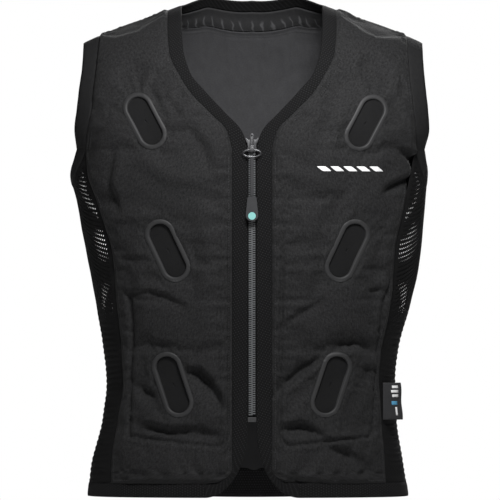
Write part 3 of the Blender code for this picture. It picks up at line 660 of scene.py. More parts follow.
def frontSite(side, x, z, raised=True):
    step = 0.0008
    x, z = np.broadcast_arrays(np.abs(np.asarray(x, float)), np.asarray(z, float))
    point = frontSurface(side, x, z)
    dx = frontSurface(side, x + step, z) - frontSurface(side, np.maximum(x - step, 0), z)
    dz = frontSurface(side, x, z + step) - frontSurface(side, x, z - step)
    normal = np.cross(dx, dz)
    normal /= np.linalg.norm(normal, axis=-1, keepdims=True)
    normal = np.where((normal[..., 1] > 0)[..., None], -normal, normal)
    if raised:
        point = point + normal * frontRelief(side, side * x, z)[..., None]
    return point, normal


# Windows in the front panels, from the CAD: centre x and z, length in mm, lean in degrees
window = dict(width=0.026, insertDepth=0.0016, insertReach=0.0016, insertDish=0.0012, insertThick=0.0009,
              cutInset=0.0022, heldReach=0.007, rimMiddle=0.0020, rimFoot=0.0004, seamAllowance=0.003)
windowTable = (
    ("window_right_top", -128.7, -132.4, 61.5, -28),
    ("window_right_middle", -101.3, -288.5, 69.0, -25),
    ("window_right_bottom", -95.2, -450.8, 71.0, -18),
    ("window_left_top", 137.3, -134.8, 61.5, 28),
    ("window_left_middle", 114.7, -288.5, 69.0, 25),
    ("window_left_bottom", 95.2, -450.8, 71.0, 18),
)


def windowsOf(side):
    return [row for row in windowTable if row[1] * side > 0]


def slotDistance(row, x, z):
    _, cx, cz, length, lean = row
    angle = math.radians(-lean)
    ax, az = -math.sin(angle), math.cos(angle)
    half = (length / 1000 - window["width"]) / 2
    px, pz = x - cx / 1000, z - cz / 1000
    along = np.clip(px * ax + pz * az, -half, half)
    return np.hypot(px - along * ax, pz - along * az) - window["width"] / 2


def slotOutline(row, offset, count=120):
    # places round the slot, a distance outside its edge
    _, cx, cz, length, lean = row
    half = (length / 1000 - window["width"]) / 2
    radius = window["width"] / 2 + offset
    turn = np.linspace(0, math.tau, count, endpoint=False)
    u, v = radius * np.cos(turn), radius * np.sin(turn) + np.where(turn < math.pi, half, -half)
    angle = math.radians(-lean)
    x = u * math.cos(angle) - v * math.sin(angle)
    z = u * math.sin(angle) + v * math.cos(angle)
    return cx / 1000 + x, cz / 1000 + z


# Outer and inner height of each cloth over the form, and how far sewn edges lap
layers = dict(
    panel=(0.0025, -0.0020), band=(0.0010, -0.0015), mesh=(0.0002, -0.0003),
    back=(0.0014, -0.0013), lining=(-0.0018, -0.0027), tape=(-0.0018, -0.0026),
    label=(0.0004, -0.0004), labelBar=(0.0006, 0.00035), seamLap=0.0004,
)
# How far cloth rolls down at its edges, and over how many grid steps
rolls = dict(panel=(0.0016, 4.5), band=(0.0007, 2.0))


def roundedEdges(shape, depth, reach, ring=False):
    # how far the cloth rolls down towards its sewn edges, in grid steps
    along, across = (np.minimum(np.arange(count), np.arange(count)[::-1]) for count in shape)
    nearest = across[None, :] if ring else np.minimum(along[:, None], across[None, :])
    return -depth * np.clip(1 - np.broadcast_to(nearest, shape) / reach, 0, 1) ** 2


def pullSeams(points, ring=False):
    # sewn edges lap a little, so no light shows through the seams
    points = points.copy()

    def pull(edge, towards):
        step = towards - edge
        size = np.linalg.norm(step, axis=-1, keepdims=True)
        return edge - step / np.maximum(size, 1e-9) * layers["seamLap"]

    points[:, 0], points[:, -1] = pull(points[:, 0], points[:, 1]), pull(points[:, -1], points[:, -2])
    if not ring:
        points[0], points[-1] = pull(points[0], points[1]), pull(points[-1], points[-2])
    return points


# The panels are pressed out on a coarse grid, with their edges, frames and bonded seams held
drape = dict(rows=110, columns=40, weldReach=0.0035, weldHold=0.8, pressure=1.2, frames=18, cap=0.004)


def drapePanel(points, normals, held):
    # cloth under light pressure, sewn down where held; gives how far each place moves out
    rows, cols = points.shape[:2]
    mesh = bpy.data.meshes.new("drape")
    mesh.from_pydata(points.reshape(-1, 3).tolist(), [], gridQuads(rows, cols).tolist())
    obj = linkedObject("drape", mesh)
    group = obj.vertex_groups.new(name="held")
    for i, weight in enumerate(held.reshape(-1)):
        if weight > 0.01:
            group.add([i], float(weight), "REPLACE")
    cloth = obj.modifiers.new("cloth", "CLOTH")
    settings = cloth.settings
    settings.quality = 6
    settings.mass = 0.25
    settings.tension_stiffness = settings.compression_stiffness = 12
    settings.shear_stiffness = 6
    settings.bending_stiffness = 0.6
    settings.vertex_group_mass = "held"
    settings.use_pressure = True
    settings.uniform_pressure_force = drape["pressure"]
    settings.shrink_min = -0.035
    settings.effector_weights.gravity = 0
    cloth.collision_settings.use_collision = False
    for step in range(1, drape["frames"] + 1):
        bpy.context.scene.frame_set(step)
    posed = obj.evaluated_get(bpy.context.evaluated_depsgraph_get())
    moved = np.zeros(rows * cols * 3)
    posed.data.vertices.foreach_get("co", moved)
    moved = moved.reshape(rows, cols, 3) - points
    bpy.data.objects.remove(obj)
    bpy.context.scene.frame_set(1)
    out = np.sum(moved * normals, -1)
    return drape["cap"] * np.tanh(np.nan_to_num(out) / drape["cap"])


def resampleGrid(values, rowShares, columnShares):
    rows, cols = values.shape
    r = np.clip(rowShares, 0, 1) * (rows - 1)
    c = np.clip(columnShares, 0, 1) * (cols - 1)
    r0, c0 = np.minimum(r.astype(int), rows - 2), np.minimum(c.astype(int), cols - 2)
    fr, fc = (r - r0)[:, None], (c - c0)[None, :]
    upper, lower = (mix(values[at][:, c0], values[at][:, c0 + 1], fc) for at in (r0, r0 + 1))
    return mix(upper, lower, fr)


# Node groups and materials

def newGroup(name, inputs, outputs):
    group = bpy.data.node_groups.new(name, "ShaderNodeTree")
    for label, kind, value in inputs:
        socket = group.interface.new_socket(label, in_out="INPUT", socket_type=kind)
        if value is not None:
            socket.default_value = value
    for label, kind in outputs:
        group.interface.new_socket(label, in_out="OUTPUT", socket_type=kind)
    nodes = group.nodes
    return group, nodes.new("NodeGroupInput"), nodes.new("NodeGroupOutput")


def feed(tree, socket, value):
    # another node's socket is linked, a plain value is set
    if isinstance(value, bpy.types.NodeSocket):
        tree.links.new(value, socket)
    else:
        socket.default_value = value


def mathNode(tree, operation, *values, clamp=False):
    node = tree.nodes.new("ShaderNodeMath")
    node.operation, node.use_clamp = operation, clamp
    for socket, value in zip(node.inputs, values):
        feed(tree, socket, value)
    return node.outputs[0]


def noiseNode(tree, vector, scale, detail=3.0, roughness=0.55):
    node = tree.nodes.new("ShaderNodeTexNoise")
    for label, value in (("Vector", vector), ("Scale", scale), ("Detail", detail), ("Roughness", roughness)):
        feed(tree, node.inputs[label], value)
    return node.outputs["Fac"]


def axesOf(tree, vector):
    node = tree.nodes.new("ShaderNodeSeparateXYZ")
    feed(tree, node.inputs[0], vector)
    return list(node.outputs)


def blendNode(tree, share, *colours):
    node = tree.nodes.new("ShaderNodeMix")
    node.data_type = "RGBA"
    feed(tree, node.inputs["Factor"], share)
    for label, colour in zip("AB", colours):
        feed(tree, node.inputs[label], (*colour, 1) if isinstance(colour, tuple) else colour)
    return node.outputs["Result"]


def groupNode(tree, name, vector, values):
    node = tree.nodes.new("ShaderNodeGroup")
    node.node_tree = groups[name]
    feed(tree, node.inputs["Vector"], vector)
    for label, value in values.items():
        feed(tree, node.inputs[label], value)
    return node.outputs


def makeGrainGroup():
    # fine cloth grain: crossed threads, broken up by noise
    group, given, result = newGroup("clothGrain", [
        ("Vector", "NodeSocketVector", None), ("Pitch", "NodeSocketFloat", 0.0008),
        ("Thread", "NodeSocketFloat", 0.5), ("Mottle", "NodeSocketFloat", 40.0),
    ], [("Value", "NodeSocketFloat"), ("Height", "NodeSocketFloat")])
    vector, pitch = given.outputs["Vector"], given.outputs["Pitch"]
    turns = mathNode(group, "DIVIDE", math.tau, pitch)
    waving = [mathNode(group, "SINE", mathNode(group, "MULTIPLY", axis, turns))
              for axis in axesOf(group, vector)[:2]]
    threads = mathNode(group, "MULTIPLY", mathNode(group, "MULTIPLY", *waving), given.outputs["Thread"])
    fuzz = noiseNode(group, vector, mathNode(group, "DIVIDE", 0.55, pitch), 2.0, 0.7)
    stretch = group.nodes.new("ShaderNodeVectorMath")
    stretch.operation = "MULTIPLY"
    feed(group, stretch.inputs[0], vector)
    feed(group, stretch.inputs[1], (1.0, 0.55, 1.0))
    wide = noiseNode(group, stretch.outputs[0], given.outputs["Mottle"], 4.0)
    mixed = mathNode(group, "MULTIPLY_ADD", wide, 0.45, mathNode(group, "MULTIPLY", fuzz, 0.55))
    feed(group, result.inputs["Value"], mathNode(group, "MULTIPLY_ADD", threads, 0.10, mixed))
    feed(group, result.inputs["Height"], mathNode(group, "ADD", threads, fuzz))
    return group


def makeKnitGroup():
    # staggered pinholes of a spacer knit
    group, given, result = newGroup("knitPinholes", [
        ("Vector", "NodeSocketVector", None), ("Pitch", "NodeSocketFloat", 0.0020),
        ("Hole", "NodeSocketFloat", 0.30),
    ], [("Hole Mask", "NodeSocketFloat"), ("Height", "NodeSocketFloat")])
    u, v = (mathNode(group, "DIVIDE", axis, given.outputs["Pitch"])
            for axis in axesOf(group, given.outputs["Vector"])[:2])
    odd = mathNode(group, "MODULO", mathNode(group, "FLOOR", v), 2.0)
    squares = []
    for place in (mathNode(group, "MULTIPLY_ADD", odd, 0.5, u), v):
        aside = mathNode(group, "SUBTRACT", mathNode(group, "FRACT", place), 0.5)
        squares.append(mathNode(group, "MULTIPLY", aside, aside))
    distance = mathNode(group, "SQRT", mathNode(group, "ADD", *squares))
    inside = mathNode(group, "SUBTRACT", given.outputs["Hole"], distance)
    mask = mathNode(group, "MULTIPLY", inside, 6.0, clamp=True)
    feed(group, result.inputs["Hole Mask"], mask)
    feed(group, result.inputs["Height"], mathNode(group, "SUBTRACT", 1.0, mask))
    return group


groups = {"grain": makeGrainGroup(), "knit": makeKnitGroup()}


def makeMaterial(name, dark, light, roughness, pitch, bump=0.3, bumpHeight=0.0003, thread=0.5, mottle=40.0,
                 contrast=2.2, sheen=0.0, metallic=0.0, specular=0.14, useUv=True, pinholes=None,
                 paintedCrestHighlights=None, paintedHemShade=None):
    # a tone of two numbers has the first one for red and green
    dark, light = ((tone[0], *tone) if len(tone) == 2 else tone for tone in (dark, light))
    material = bpy.data.materials.new(name)
    material.use_nodes = True
    tree = material.node_tree
    place = tree.nodes.new("ShaderNodeTexCoord")
    vector = place.outputs["UV" if useUv else "Object"]
    grain = groupNode(tree, "grain", vector, {"Pitch": pitch, "Thread": thread, "Mottle": mottle})
    spread = mathNode(tree, "MULTIPLY_ADD", grain["Value"], contrast, 0.5 - contrast / 2, clamp=True)
    colour, height = blendNode(tree, spread, dark, light), grain["Height"]
    if pinholes:
        knit = groupNode(tree, "knit", vector, {"Pitch": pitch * 3, "Hole": pinholes["size"]})
        colour = blendNode(tree, knit["Hole Mask"], colour, pinholes["tone"])
        height = mathNode(tree, "MULTIPLY_ADD", knit["Height"], 2.0, height)
    if paintedCrestHighlights:
        # painted highlight: lighter streaks where light catches the crests of the gathers, below a start
        across, along, _ = axesOf(tree, vector)
        wobble = mathNode(tree, "MULTIPLY", noiseNode(tree, vector, 60.0, 1.0), 7.0)
        turn = mathNode(tree, "MULTIPLY_ADD", across, math.tau / paintedCrestHighlights["pitch"], wobble)
        crest = mathNode(tree, "MULTIPLY_ADD", mathNode(tree, "SINE", turn), 2.6, -1.6, clamp=True)
        below = mathNode(tree, "MULTIPLY_ADD", along, 180.0, -180.0 * paintedCrestHighlights["start"], clamp=True)
        colour = blendNode(tree, mathNode(tree, "MULTIPLY", crest, below), colour, paintedCrestHighlights["tone"])
    if paintedHemShade:
        # painted shade: darker towards the hem, where the inside of the back lies in shadow
        level = axesOf(tree, place.outputs["Object"])[2]
        fall = mathNode(tree, "MULTIPLY_ADD", level, -4.5, -0.75, clamp=True)
        colour = blendNode(tree, fall, colour, paintedHemShade)
    relief = tree.nodes.new("ShaderNodeBump")
    for label, value in (("Strength", bump), ("Distance", bumpHeight), ("Height", height)):
        feed(tree, relief.inputs[label], value)
    settings = {
        "Metallic": metallic, "Sheen Weight": sheen, "Sheen Roughness": 0.5, "Specular IOR Level": specular,
        "Roughness": mathNode(tree, "MULTIPLY_ADD", grain["Value"], 0.15, roughness - 0.07),
        "Base Color": colour, "Normal": relief.outputs["Normal"],
    }
    for label, value in settings.items():
        feed(tree, tree.nodes["Principled BSDF"].inputs[label], value)
    return material


# Dark tone, light tone, roughness, thread pitch, and what differs from plain cloth
hard = dict(useUv=False, bump=0.1, bumpHeight=0.0001)
looks = dict(
    frontCloth=((0.0040, 0.0042), (0.0230, 0.0237), 0.80, 0.0009,
                dict(contrast=3.6, bump=0.5, thread=0.3, mottle=420, sheen=0.02)),
    windowCloth=((0.0055, 0.0058), (0.0120, 0.0124), 0.85, 0.0009, dict(bump=0.6, thread=0.9)),
    bondedRim=((0.0185, 0.0190), (0.0280, 0.0290), 0.55, 0.0006,
               dict(bump=0.25, bumpHeight=0.0001, thread=0.2, specular=0.25)),
    backCloth=((0.0190, 0.0200), (0.0290, 0.0300), 0.82, 0.0007, dict(thread=0.4)),
    # the lining's lower part gets painted shade, darker towards the hem
    liningCloth=((0.032, 0.034), (0.054, 0.057), 0.70, 0.0011,
                 dict(bump=0.5, thread=0.6, mottle=120, sheen=0.05, paintedHemShade=(0.018, 0.018, 0.019))),
    spacerKnit=((0.0042, 0.0044), (0.0086, 0.0090), 0.88, 0.00105,
                dict(bump=0.9, bumpHeight=0.0005, pinholes=dict(size=0.24, tone=(0.036, 0.036, 0.0375)))),
    edgingCloth=((0.0075, 0.0078), (0.0180, 0.0186), 0.82, 0.0009, dict(bump=0.6, mottle=380)),
    # the facing's lighter streaks are painted highlights on the crests of its gathers
    facingCloth=((0.0200, 0.0208), (0.0330, 0.0342), 0.80, 0.0009,
                 dict(bump=0.5, mottle=200,
                      paintedCrestHighlights=dict(pitch=0.0125, start=0.012, tone=(0.075, 0.075, 0.078)))),
    openMesh=((0.0028, 0.0030), (0.0085, 0.0088), 0.85, 0.0008, dict(bump=0.8, thread=0.8)),
    sewingThread=((0.0300, 0.0310), (0.0520, 0.0535), 0.6, 0.0004, dict(hard, bump=0.4)),
    zipTape=((0.0080, 0.0085), (0.0150, 0.0158), 0.85, 0.0006, dict(bump=0.7, thread=0.9)),
    mouldedTeeth=((0.065, 0.067, 0.070), (0.120, 0.124, 0.128), 0.36, 0.0010, hard),
    boxPlastic=((0.020, 0.021), (0.040, 0.042), 0.45, 0.0010, dict(hard, specular=0.4)),
    palePrint=((0.62, 0.62), (0.80, 0.80), 0.6, 0.0008, hard),
    bluePrint=((0.06, 0.22, 0.36), (0.09, 0.30, 0.48), 0.6, 0.0008, hard),
    sliderMetal=((0.070, 0.073), (0.130, 0.134), 0.42, 0.0012, dict(hard, bump=0.12, metallic=0.9)),
    pullRubber=((0.026, 0.0265, 0.028), (0.042, 0.0425, 0.045), 0.55, 0.0008, dict(hard, bump=0.2)),
    inlay=((0.17, 0.40, 0.38), (0.22, 0.47, 0.45), 0.42, 0.0010, hard),
    labelCloth=((0.0240, 0.0255), (0.0400, 0.0420), 0.75, 0.0005, dict(thread=0.8, useUv=False, bump=0.5)),
    paleFloor=((0.80, 0.80), (0.84, 0.84), 0.8, 0.05, dict(useUv=False, bump=0.02)),
)
materials = {name: makeMaterial(name, *look[:-1], **look[-1]) for name, look in looks.items()}
print("materials made")


# Front panels

panelPuff = {}


def makeFrontPanel(side):
    points = pullSeams(frontPanelGrid(side))
    normals = gridNormals(points)
    rows = np.linspace(0, len(points) - 1, drape["rows"]).astype(int)
    cols = np.linspace(0, points.shape[1] - 1, drape["columns"]).astype(int)
    coarse = points[rows][:, cols]
    held = np.zeros(coarse.shape[:2])
    held[:, [0, -1]] = held[[0, -1]] = 1
    for row in windowsOf(side):
        held[slotDistance(row, coarse[..., 0], coarse[..., 2]) < window["heldReach"]] = 1
    held[besideLine(welds[side], coarse[..., 0], coarse[..., 2])[0] < drape["weldReach"]] = drape["weldHold"]
    puff = drapePanel(coarse, normals[rows][:, cols], held)
    panelPuff[side] = (coarse, puff)
    relief = frontRelief(side, points[..., 0], points[..., 2])
    relief = relief + resampleGrid(puff, *(np.linspace(0, 1, count) for count in relief.shape))

    middle = (points[:-1, :-1] + points[1:, 1:]) / 2
    keep = np.ones(middle.shape[:2], bool)
    for row in windowsOf(side):
        keep &= slotDistance(row, middle[..., 0], middle[..., 2]) > window["cutInset"]
    roll = roundedEdges(relief.shape, *rolls["panel"])
    outer, inner = layers["panel"]
    node = "front_panel_" + sideNames[side]
    obj = shellObject(node + "_cloth", points, normals, outer + relief + roll, inner + relief, keep=keep)
    finishPiece(obj, "frontCloth", nodes=[node])
    declareSheet(obj, points)


def puffAt(side, x, z):
    # nearest coarse place of the pressed cloth
    coarse, puff = panelPuff[side]
    flat = coarse[..., [0, 2]].reshape(-1, 2)
    values = puff.reshape(-1)
    out = np.zeros(x.size)
    for i, (px, pz) in enumerate(zip(x.reshape(-1), z.reshape(-1))):
        gap = (flat[:, 0] - px) ** 2 + (flat[:, 1] - pz) ** 2
        near = np.argpartition(gap, 4)[:4]
        weight = 1 / (gap[near] + 1e-8)
        out[i] = np.sum(values[near] * weight) / np.sum(weight)
    return out.reshape(x.shape)


def makeWindow(row):
    side = wearerRight if row[1] < 0 else wearerLeft
    outer = layers["panel"][0]
    # raised rim: places across it, outwards, and their heights
    across = np.array([-0.0004, 0.0, 0.0003, 0.0009, 0.0018, 0.0030, 0.0041, 0.0049, 0.0053, 0.0055])
    heights = np.array([-0.0030, 0.0002, 0.0008, 0.0012, 0.0014, 0.0013, 0.0011, 0.0007, 0.0002, -0.0004])
    grid = []
    for offset, height in zip(across, heights):
        x, z = slotOutline(row, offset)
        point, normal = frontSite(side, x, z)
        lift = puffAt(side, x, z)
        grid.append(point + normal * (outer + height + lift)[:, None])
    grid = np.array(grid).transpose(1, 0, 2)
    x, z = slotOutline(row, window["rimMiddle"])
    _, normal = frontSite(side, x, z, raised=False)
    normals = np.repeat(normal[:, None], len(across), 1)
    rim = shellObject(row[0] + "_rim", grid, normals, 0.0, -window["rimFoot"], ring=True)
    finishPiece(rim, "bondedRim")

    # sunken insert, rings of places from its middle to its edge
    insert = []
    x, z = slotOutline(row, window["insertReach"], 96)
    cx, cz = row[1] / 1000, row[2] / 1000
    for ring in np.linspace(0.02, 1, 12):
        point, normal = frontSite(side, cx + (x - cx) * ring, cz + (z - cz) * ring, raised=False)
        depth = window["insertDepth"] + window["insertDish"] * (1 - ring ** 2)
        insert.append(point + normal * (outer - depth))
    insert = np.array(insert).transpose(1, 0, 2)
    normals = np.broadcast_to(frontSite(side, cx, cz, raised=False)[1], insert.shape)
    obj = shellObject(row[0] + "_cloth", insert, normals, 0.0, -window["insertThick"], ring=True,
                      uv=(insert[..., 0], insert[..., 2]))
    finishPiece(obj, "windowCloth", nodes=[row[0]])
    length, width = (size + window["seamAllowance"] for size in (row[3] / 1000, window["width"]))
    declareCut(obj, width, length, math.pi * width ** 2 / 4 + (length - width) * width)


for side in sideNames:
    makeFrontPanel(side)
print("front panels made")
for row in windowTable:
    makeWindow(row)
print("windows made")


# Bands, sides and back

def makeBand(node, points, ripple=None, ring=False, finish="spacerKnit"):
    # ripple: height, the two axes it runs along, seed and pitch
    relief = 0.0
    if ripple:
        height, axes, seed, pitch = ripple
        relief = height * waves(points[..., axes[0]], points[..., axes[1]], seed, pitch)
    points = pullSeams(points, ring)
    outer, inner = layers["band"]
    roll = roundedEdges(points.shape[:2], *rolls["band"], ring)
    obj = shellObject(node + "_knit", points, gridNormals(points), outer + relief + roll, inner, ring=ring)
    finishPiece(obj, finish, nodes=[node])
    declareSheet(obj, points)


for side, label in sideNames.items():
    makeBand("front_band_" + label, frontBandGrid(side), (0.0004, (0, 2), 5, 0.03))
    makeBand("armhole_band_" + label, armholeBandGrid(side), (0.0005, (1, 2), 6, 0.022),
             ring=True, finish="edgingCloth")
    makeBand("hem_band_" + label, hemGrid(side), (0.0004, (0, 1), 7, 0.03))
makeBand("neck_band_back", neckRingGrid(np.linspace(0, form["neckBand"], 9)))
makeBand("hem_band_back", backHemGrid(form["hemBand"], 0.0).transpose(1, 0, 2))
print("bands made")


stitchLater = []
# The lining hangs in gathers under the neck facing, which is the first rows of the same grid
lining = dict(facingRows=12, gatherPitch=0.0125, gatherHeight=0.0030, gatherDrop=0.022, gatherReach=0.0085,
              gatherHalfWidth=0.085, seamHeight=0.0010, seamDrop=0.036, seamReach=0.0022)


def makeBack():
    points = pullSeams(backGrid())
    normals = gridNormals(points)
    x, z = points[..., 0], points[..., 2]
    relief = 0.0030 * waves(x * 0.5, z, 21, 0.10) + 0.0010 * waves(x, z, 22, 0.04)
    relief = relief * (1 - np.clip(-roundedEdges(x.shape, 1.0, 6), 0, 1))
    outer, inner = layers["back"]
    obj = shellObject("back_panel_cloth", points, normals, outer + relief, inner + relief)
    finishPiece(obj, "backCloth", nodes=["back_panel"])
    declareSheet(obj, points)
    raised = points + normals * relief[..., None]
    seams = (np.s_[:, 1], np.s_[:, -2], np.s_[-2, ::3])
    stitchLater.append(("stitches_back", [(raised[seam], normals[seam], outer + 0.0001) for seam in seams]))

    drop = np.cumsum(np.linalg.norm(np.diff(points, axis=0, prepend=points[:1]), axis=-1), 0)
    outer, inner = layers["lining"]
    shift = np.minimum(relief, 0.0) - 0.0004
    pleats = np.abs(np.sin(x * math.pi / lining["gatherPitch"] + 1.2 * np.sin(x * 47))) ** 3
    bunch = lining["gatherHeight"] * pleats * bell(drop - lining["gatherDrop"], lining["gatherReach"])
    seam = lining["seamHeight"] * bell(drop - lining["seamDrop"], lining["seamReach"])
    low = shift - bunch * (np.abs(x) < lining["gatherHalfWidth"]) + seam
    split = lining["facingRows"]
    for node, rows, finish in (("neck_facing", slice(0, split), "facingCloth"),
                               ("back_lining", slice(split - 1, None), "liningCloth")):
        piece = shellObject(node + "_cloth", points[rows], normals[rows],
                            outer + shift[rows], inner + low[rows])
        finishPiece(piece, finish, nodes=[node])
        declareSheet(piece, points[rows])
    rows = (split - 2, split + 1)
    stitchLater.append(("stitches_neck", [(points[row, ::2], -normals[row, ::2],
                                           -inner + 0.0006 - shift[row].min()) for row in rows]))
    facing = backHemGrid(form["hemFacing"] - 0.002, 0.001)
    piece = shellObject("back_hem_facing_cloth", facing, gridNormals(facing), outer - 0.0012, inner - 0.0014)
    finishPiece(piece, "spacerKnit", nodes=["back_hem_facing"])
    declareSheet(piece, facing)


makeBack()
print("back made")

# Side mesh: a brick lattice of small round openings, and fine ribs low down
openMesh = dict(columns=25, rows=144, hole=0.35, wide=0.22, lowHole=0.14, ribPitch=0.0068, ribHeight=0.00042,
                flat=(0.20, 0.42), across=0.17, along=0.40)


def makeSideMesh(side):
    columns, rows = openMesh["columns"], openMesh["rows"]
    places, faces, index = [], [], {}

    def spot(u, v):
        key = (round(u * 1000), round(v * 1000))
        if key not in index:
            index[key] = len(places)
            places.append((u / columns, v / rows))
        return index[key]

    for r in range(rows):
        # every second row is shifted by half an opening, and the outermost openings are closed
        shift = 0.5 if r % 2 else 0.0
        cells = [(c + shift, c + 1 + shift) for c in range(columns - (1 if shift else 0))]
        if shift:
            for u0, u1 in ((0, 0.5), (columns - 0.5, columns)):
                faces.append((spot(u0, r), spot(u1, r), spot(u1, r + 1), spot(u0, r + 1)))
        for u0, u1 in cells:
            um = (u0 + u1) / 2
            ring = [spot(u0, r), spot(um, r), spot(u1, r), spot(u1, r + 1), spot(um, r + 1), spot(u0, r + 1)]
            if r < 3 or r > rows - 4 or u0 < 1 or u1 > columns - 1:
                faces.append((ring[0], ring[1], ring[4], ring[5]))
                faces.append((ring[1], ring[2], ring[3], ring[4]))
                continue
            hole = []
            size = mix(1.0, openMesh["lowHole"], smooth(0.38, 0.56, r / rows))
            for k in range(6):
                angle = math.radians(-150 + 60 * k)
                hole.append(spot(um + size * openMesh["wide"] * math.cos(angle),
                                 r + 0.5 + size * openMesh["hole"] * math.sin(angle)))
            for k in range(6):
                n = (k + 1) % 6
                faces.append((ring[k], ring[n], hole[n], hole[k]))
    places = np.array(places)
    step = 0.004

    def near(across, along):
        return sidePanelSite(side, np.clip(places[:, 0] + across, 0, 1), places[:, 1] + along)

    point = near(0, 0)
    normal = np.cross(near(step, 0) - near(-step, 0), near(0, step) - near(0, -step))
    normal /= np.linalg.norm(normal, axis=1, keepdims=True)
    if np.sum(normal[:, 0]) * side < 0:
        normal = -normal
    across, z = places[:, 0] * openMesh["across"], point[:, 2]
    ribs = np.sin(z * math.tau / openMesh["ribPitch"] + 2.0 * waves(across, z, 35, 0.08))
    wrinkle = 0.0009 * waves(across, z, 31 + side, 0.05)
    wrinkle = wrinkle + openMesh["ribHeight"] * ribs * smooth(0.36, 0.56, places[:, 1])
    wrinkle = wrinkle * np.minimum(np.minimum(places[:, 0], 1 - places[:, 0]) * 12, 1)
    top, low = (point + normal * (height + wrinkle)[:, None] for height in layers["mesh"])
    node = "side_panel_" + sideNames[side]
    uv = places * np.array([openMesh["across"], openMesh["along"]])
    obj = closedLayer(node + "_mesh", top, low, normal, np.array(faces), uv)
    finishPiece(obj, "openMesh", nodes=[node])
    declareCut(obj, *openMesh["flat"], sum(face.area for face in obj.data.polygons) / 2)


for side in sideNames:
    makeSideMesh(side)
print("side meshes made")

# Zip: tapes and moulded teeth, with x, height and depth of a tooth's head and root
zipper = dict(top=-0.1556, end=-0.4897, pitch=0.0027, tape=0.0160,
              head=(-0.0010, 0.0012, 0.0022), root=(0.0041, 0.0018, 0.0028))


def makeZip(side):
    label = sideNames[side]
    zs = np.linspace(zipper["top"], zipper["end"], 120)
    x = np.linspace(0.0006, zipper["tape"], 9)
    points = np.array([bodySite(side, front, x, z) for z in zs])
    tape = shellObject("zip_tape_" + label + "_cloth", points, gridNormals(points), *layers["tape"])
    finishPiece(tape, "zipTape", nodes=["zip_tape_" + label])
    declareSheet(tape, points)
    bm = bmesh.new()
    for i in range(int((zipper["top"] - zipper["end"]) / zipper["pitch"])):
        z = zipper["top"] - (i + (0.25 if side > 0 else 0.75)) * zipper["pitch"]
        y = -float(depthAt(front, z)) - 0.0004
        for vert in bmesh.ops.create_cube(bm, size=1.0)["verts"]:
            x, tall, deep = zipper["head"] if vert.co.x < 0 else zipper["root"]
            vert.co = Vector((side * x, y + vert.co.y * deep, z + vert.co.z * tall))
    obj = solidObject("zip_teeth_" + label, bm, 0.00035, segments=2)
    finishPiece(obj, "mouldedTeeth", nodes=["zip_coil_" + label])


for side in sideNames:
    makeZip(side)
print("zip made")


# Stitches

def stitchRow(bm, points, normals, pitch=0.0032, length=0.0023, radius=0.00028, lift=0.0):
    steps = np.linalg.norm(np.diff(points, axis=0), axis=1)
    along = np.concatenate([[0], np.cumsum(steps)])
    for place in np.arange(pitch / 2, along[-1], pitch):
        ends = []
        for offset in (-length / 2, length / 2):
            at = np.clip(place + offset, 0, along[-1])
            ends.append(Vector([np.interp(at, along, points[:, k]) for k in range(3)]))
        normal = Vector([np.interp(place, along, normals[:, k]) for k in range(3)]).normalized()
        a, b = ends
        axis = (b - a).normalized()
        wide = axis.cross(normal).normalized() * radius
        tall = normal * radius
        tips = [bm.verts.new(a + normal * (lift - radius)), bm.verts.new(b + normal * (lift - radius))]
        loops = []
        for centre in (a.lerp(b, 0.2), a.lerp(b, 0.8)):
            middle = centre + normal * lift
            loops.append([bm.verts.new(middle + o) for o in (wide, tall, -wide, -tall)])
        for k in range(4):
            n = (k + 1) % 4
            bm.faces.new((loops[0][k], loops[0][n], loops[1][n], loops[1][k]))
            bm.faces.new((tips[0], loops[0][n], loops[0][k]))
            bm.faces.new((tips[1], loops[1][k], loops[1][n]))


def stitchObject(name, rows):
    bm = bmesh.new()
    for points, normals, lift in rows:
        stitchRow(bm, points, normals, lift=lift)
    finishPiece(solidObject(name, bm), "sewingThread")


stitchLift = layers["panel"][0] + 0.0001
# Distances of the rows from the panel's edges
stitchInset = dict(zip=0.0035, armhole=(0.0030, 0.0060),
                   neck={wearerRight: (0.0035,), wearerLeft: (0.0035, 0.0095)})


def frontLine(side, xs, zs):
    return *frontSite(side, xs, zs), stitchLift


def archLine(side, edge, inset, count):
    points = np.array([archPoint(side, front, edge(c) + inset, c) for c in np.linspace(1, 0, count)])
    _, normal = frontSite(side, points[:, 0], points[:, 2], raised=False)
    relief = frontRelief(side, points[:, 0], points[:, 2])
    return points + normal * relief[:, None], normal, stitchLift


def makeStitches(side):
    inset = stitchInset["zip"]
    zs = np.linspace(underarmZ, hemSeamZ + form["cornerHeight"], 150)
    rows = [frontLine(side, np.full_like(zs, panelEdgeX + inset), zs)]
    rows += [archLine(side, neckPanelX, across, 90) for across in stitchInset["neck"][side]]
    rows += [archLine(side, lambda c: armholeInnerX(side, front, c), -across, 80)
             for across in stitchInset["armhole"]]
    xs = np.linspace(panelEdgeX + form["cornerWidth"], float(seamX(side, front, hemSeamZ)) - 0.003, 60)
    rows.append(frontLine(side, xs, np.full_like(xs, hemSeamZ + inset)))
    zs = np.linspace(underarmZ - 0.004, hemSeamZ + 0.004, 120)
    rows.append(frontLine(side, seamX(side, front, zs) - inset, zs))
    stitchObject("stitches_" + sideNames[side], rows)


for side in sideNames:
    makeStitches(side)
for name, rows in stitchLater:
    stitchObject(name, rows)
print("stitches made")

# Hard pieces of the CAD keep their solids and get a finish, with soft edges of a width
finishes = dict(
    pull_ring=("sliderMetal", 0.0), zip_box=("boxPlastic", 0.0004),
    pull_strap=("pullRubber", 0.0003), pull_grip=("pullRubber", 0.0008), grip_dot=("inlay", 0.0002),
)
for node, (finish, width) in finishes.items():
    obj = bpy.data.objects[node]
    for held in obj.material_slots:
        held.link = "OBJECT"
        held.material = materials[finish]
    if width:
        softenEdges(obj, width, degrees=35)
    else:
        obj.modifiers.new("round", "SUBSURF").render_levels = 1


slider = dict(plate=0.0016, rail=0.0018, play=0.0004)


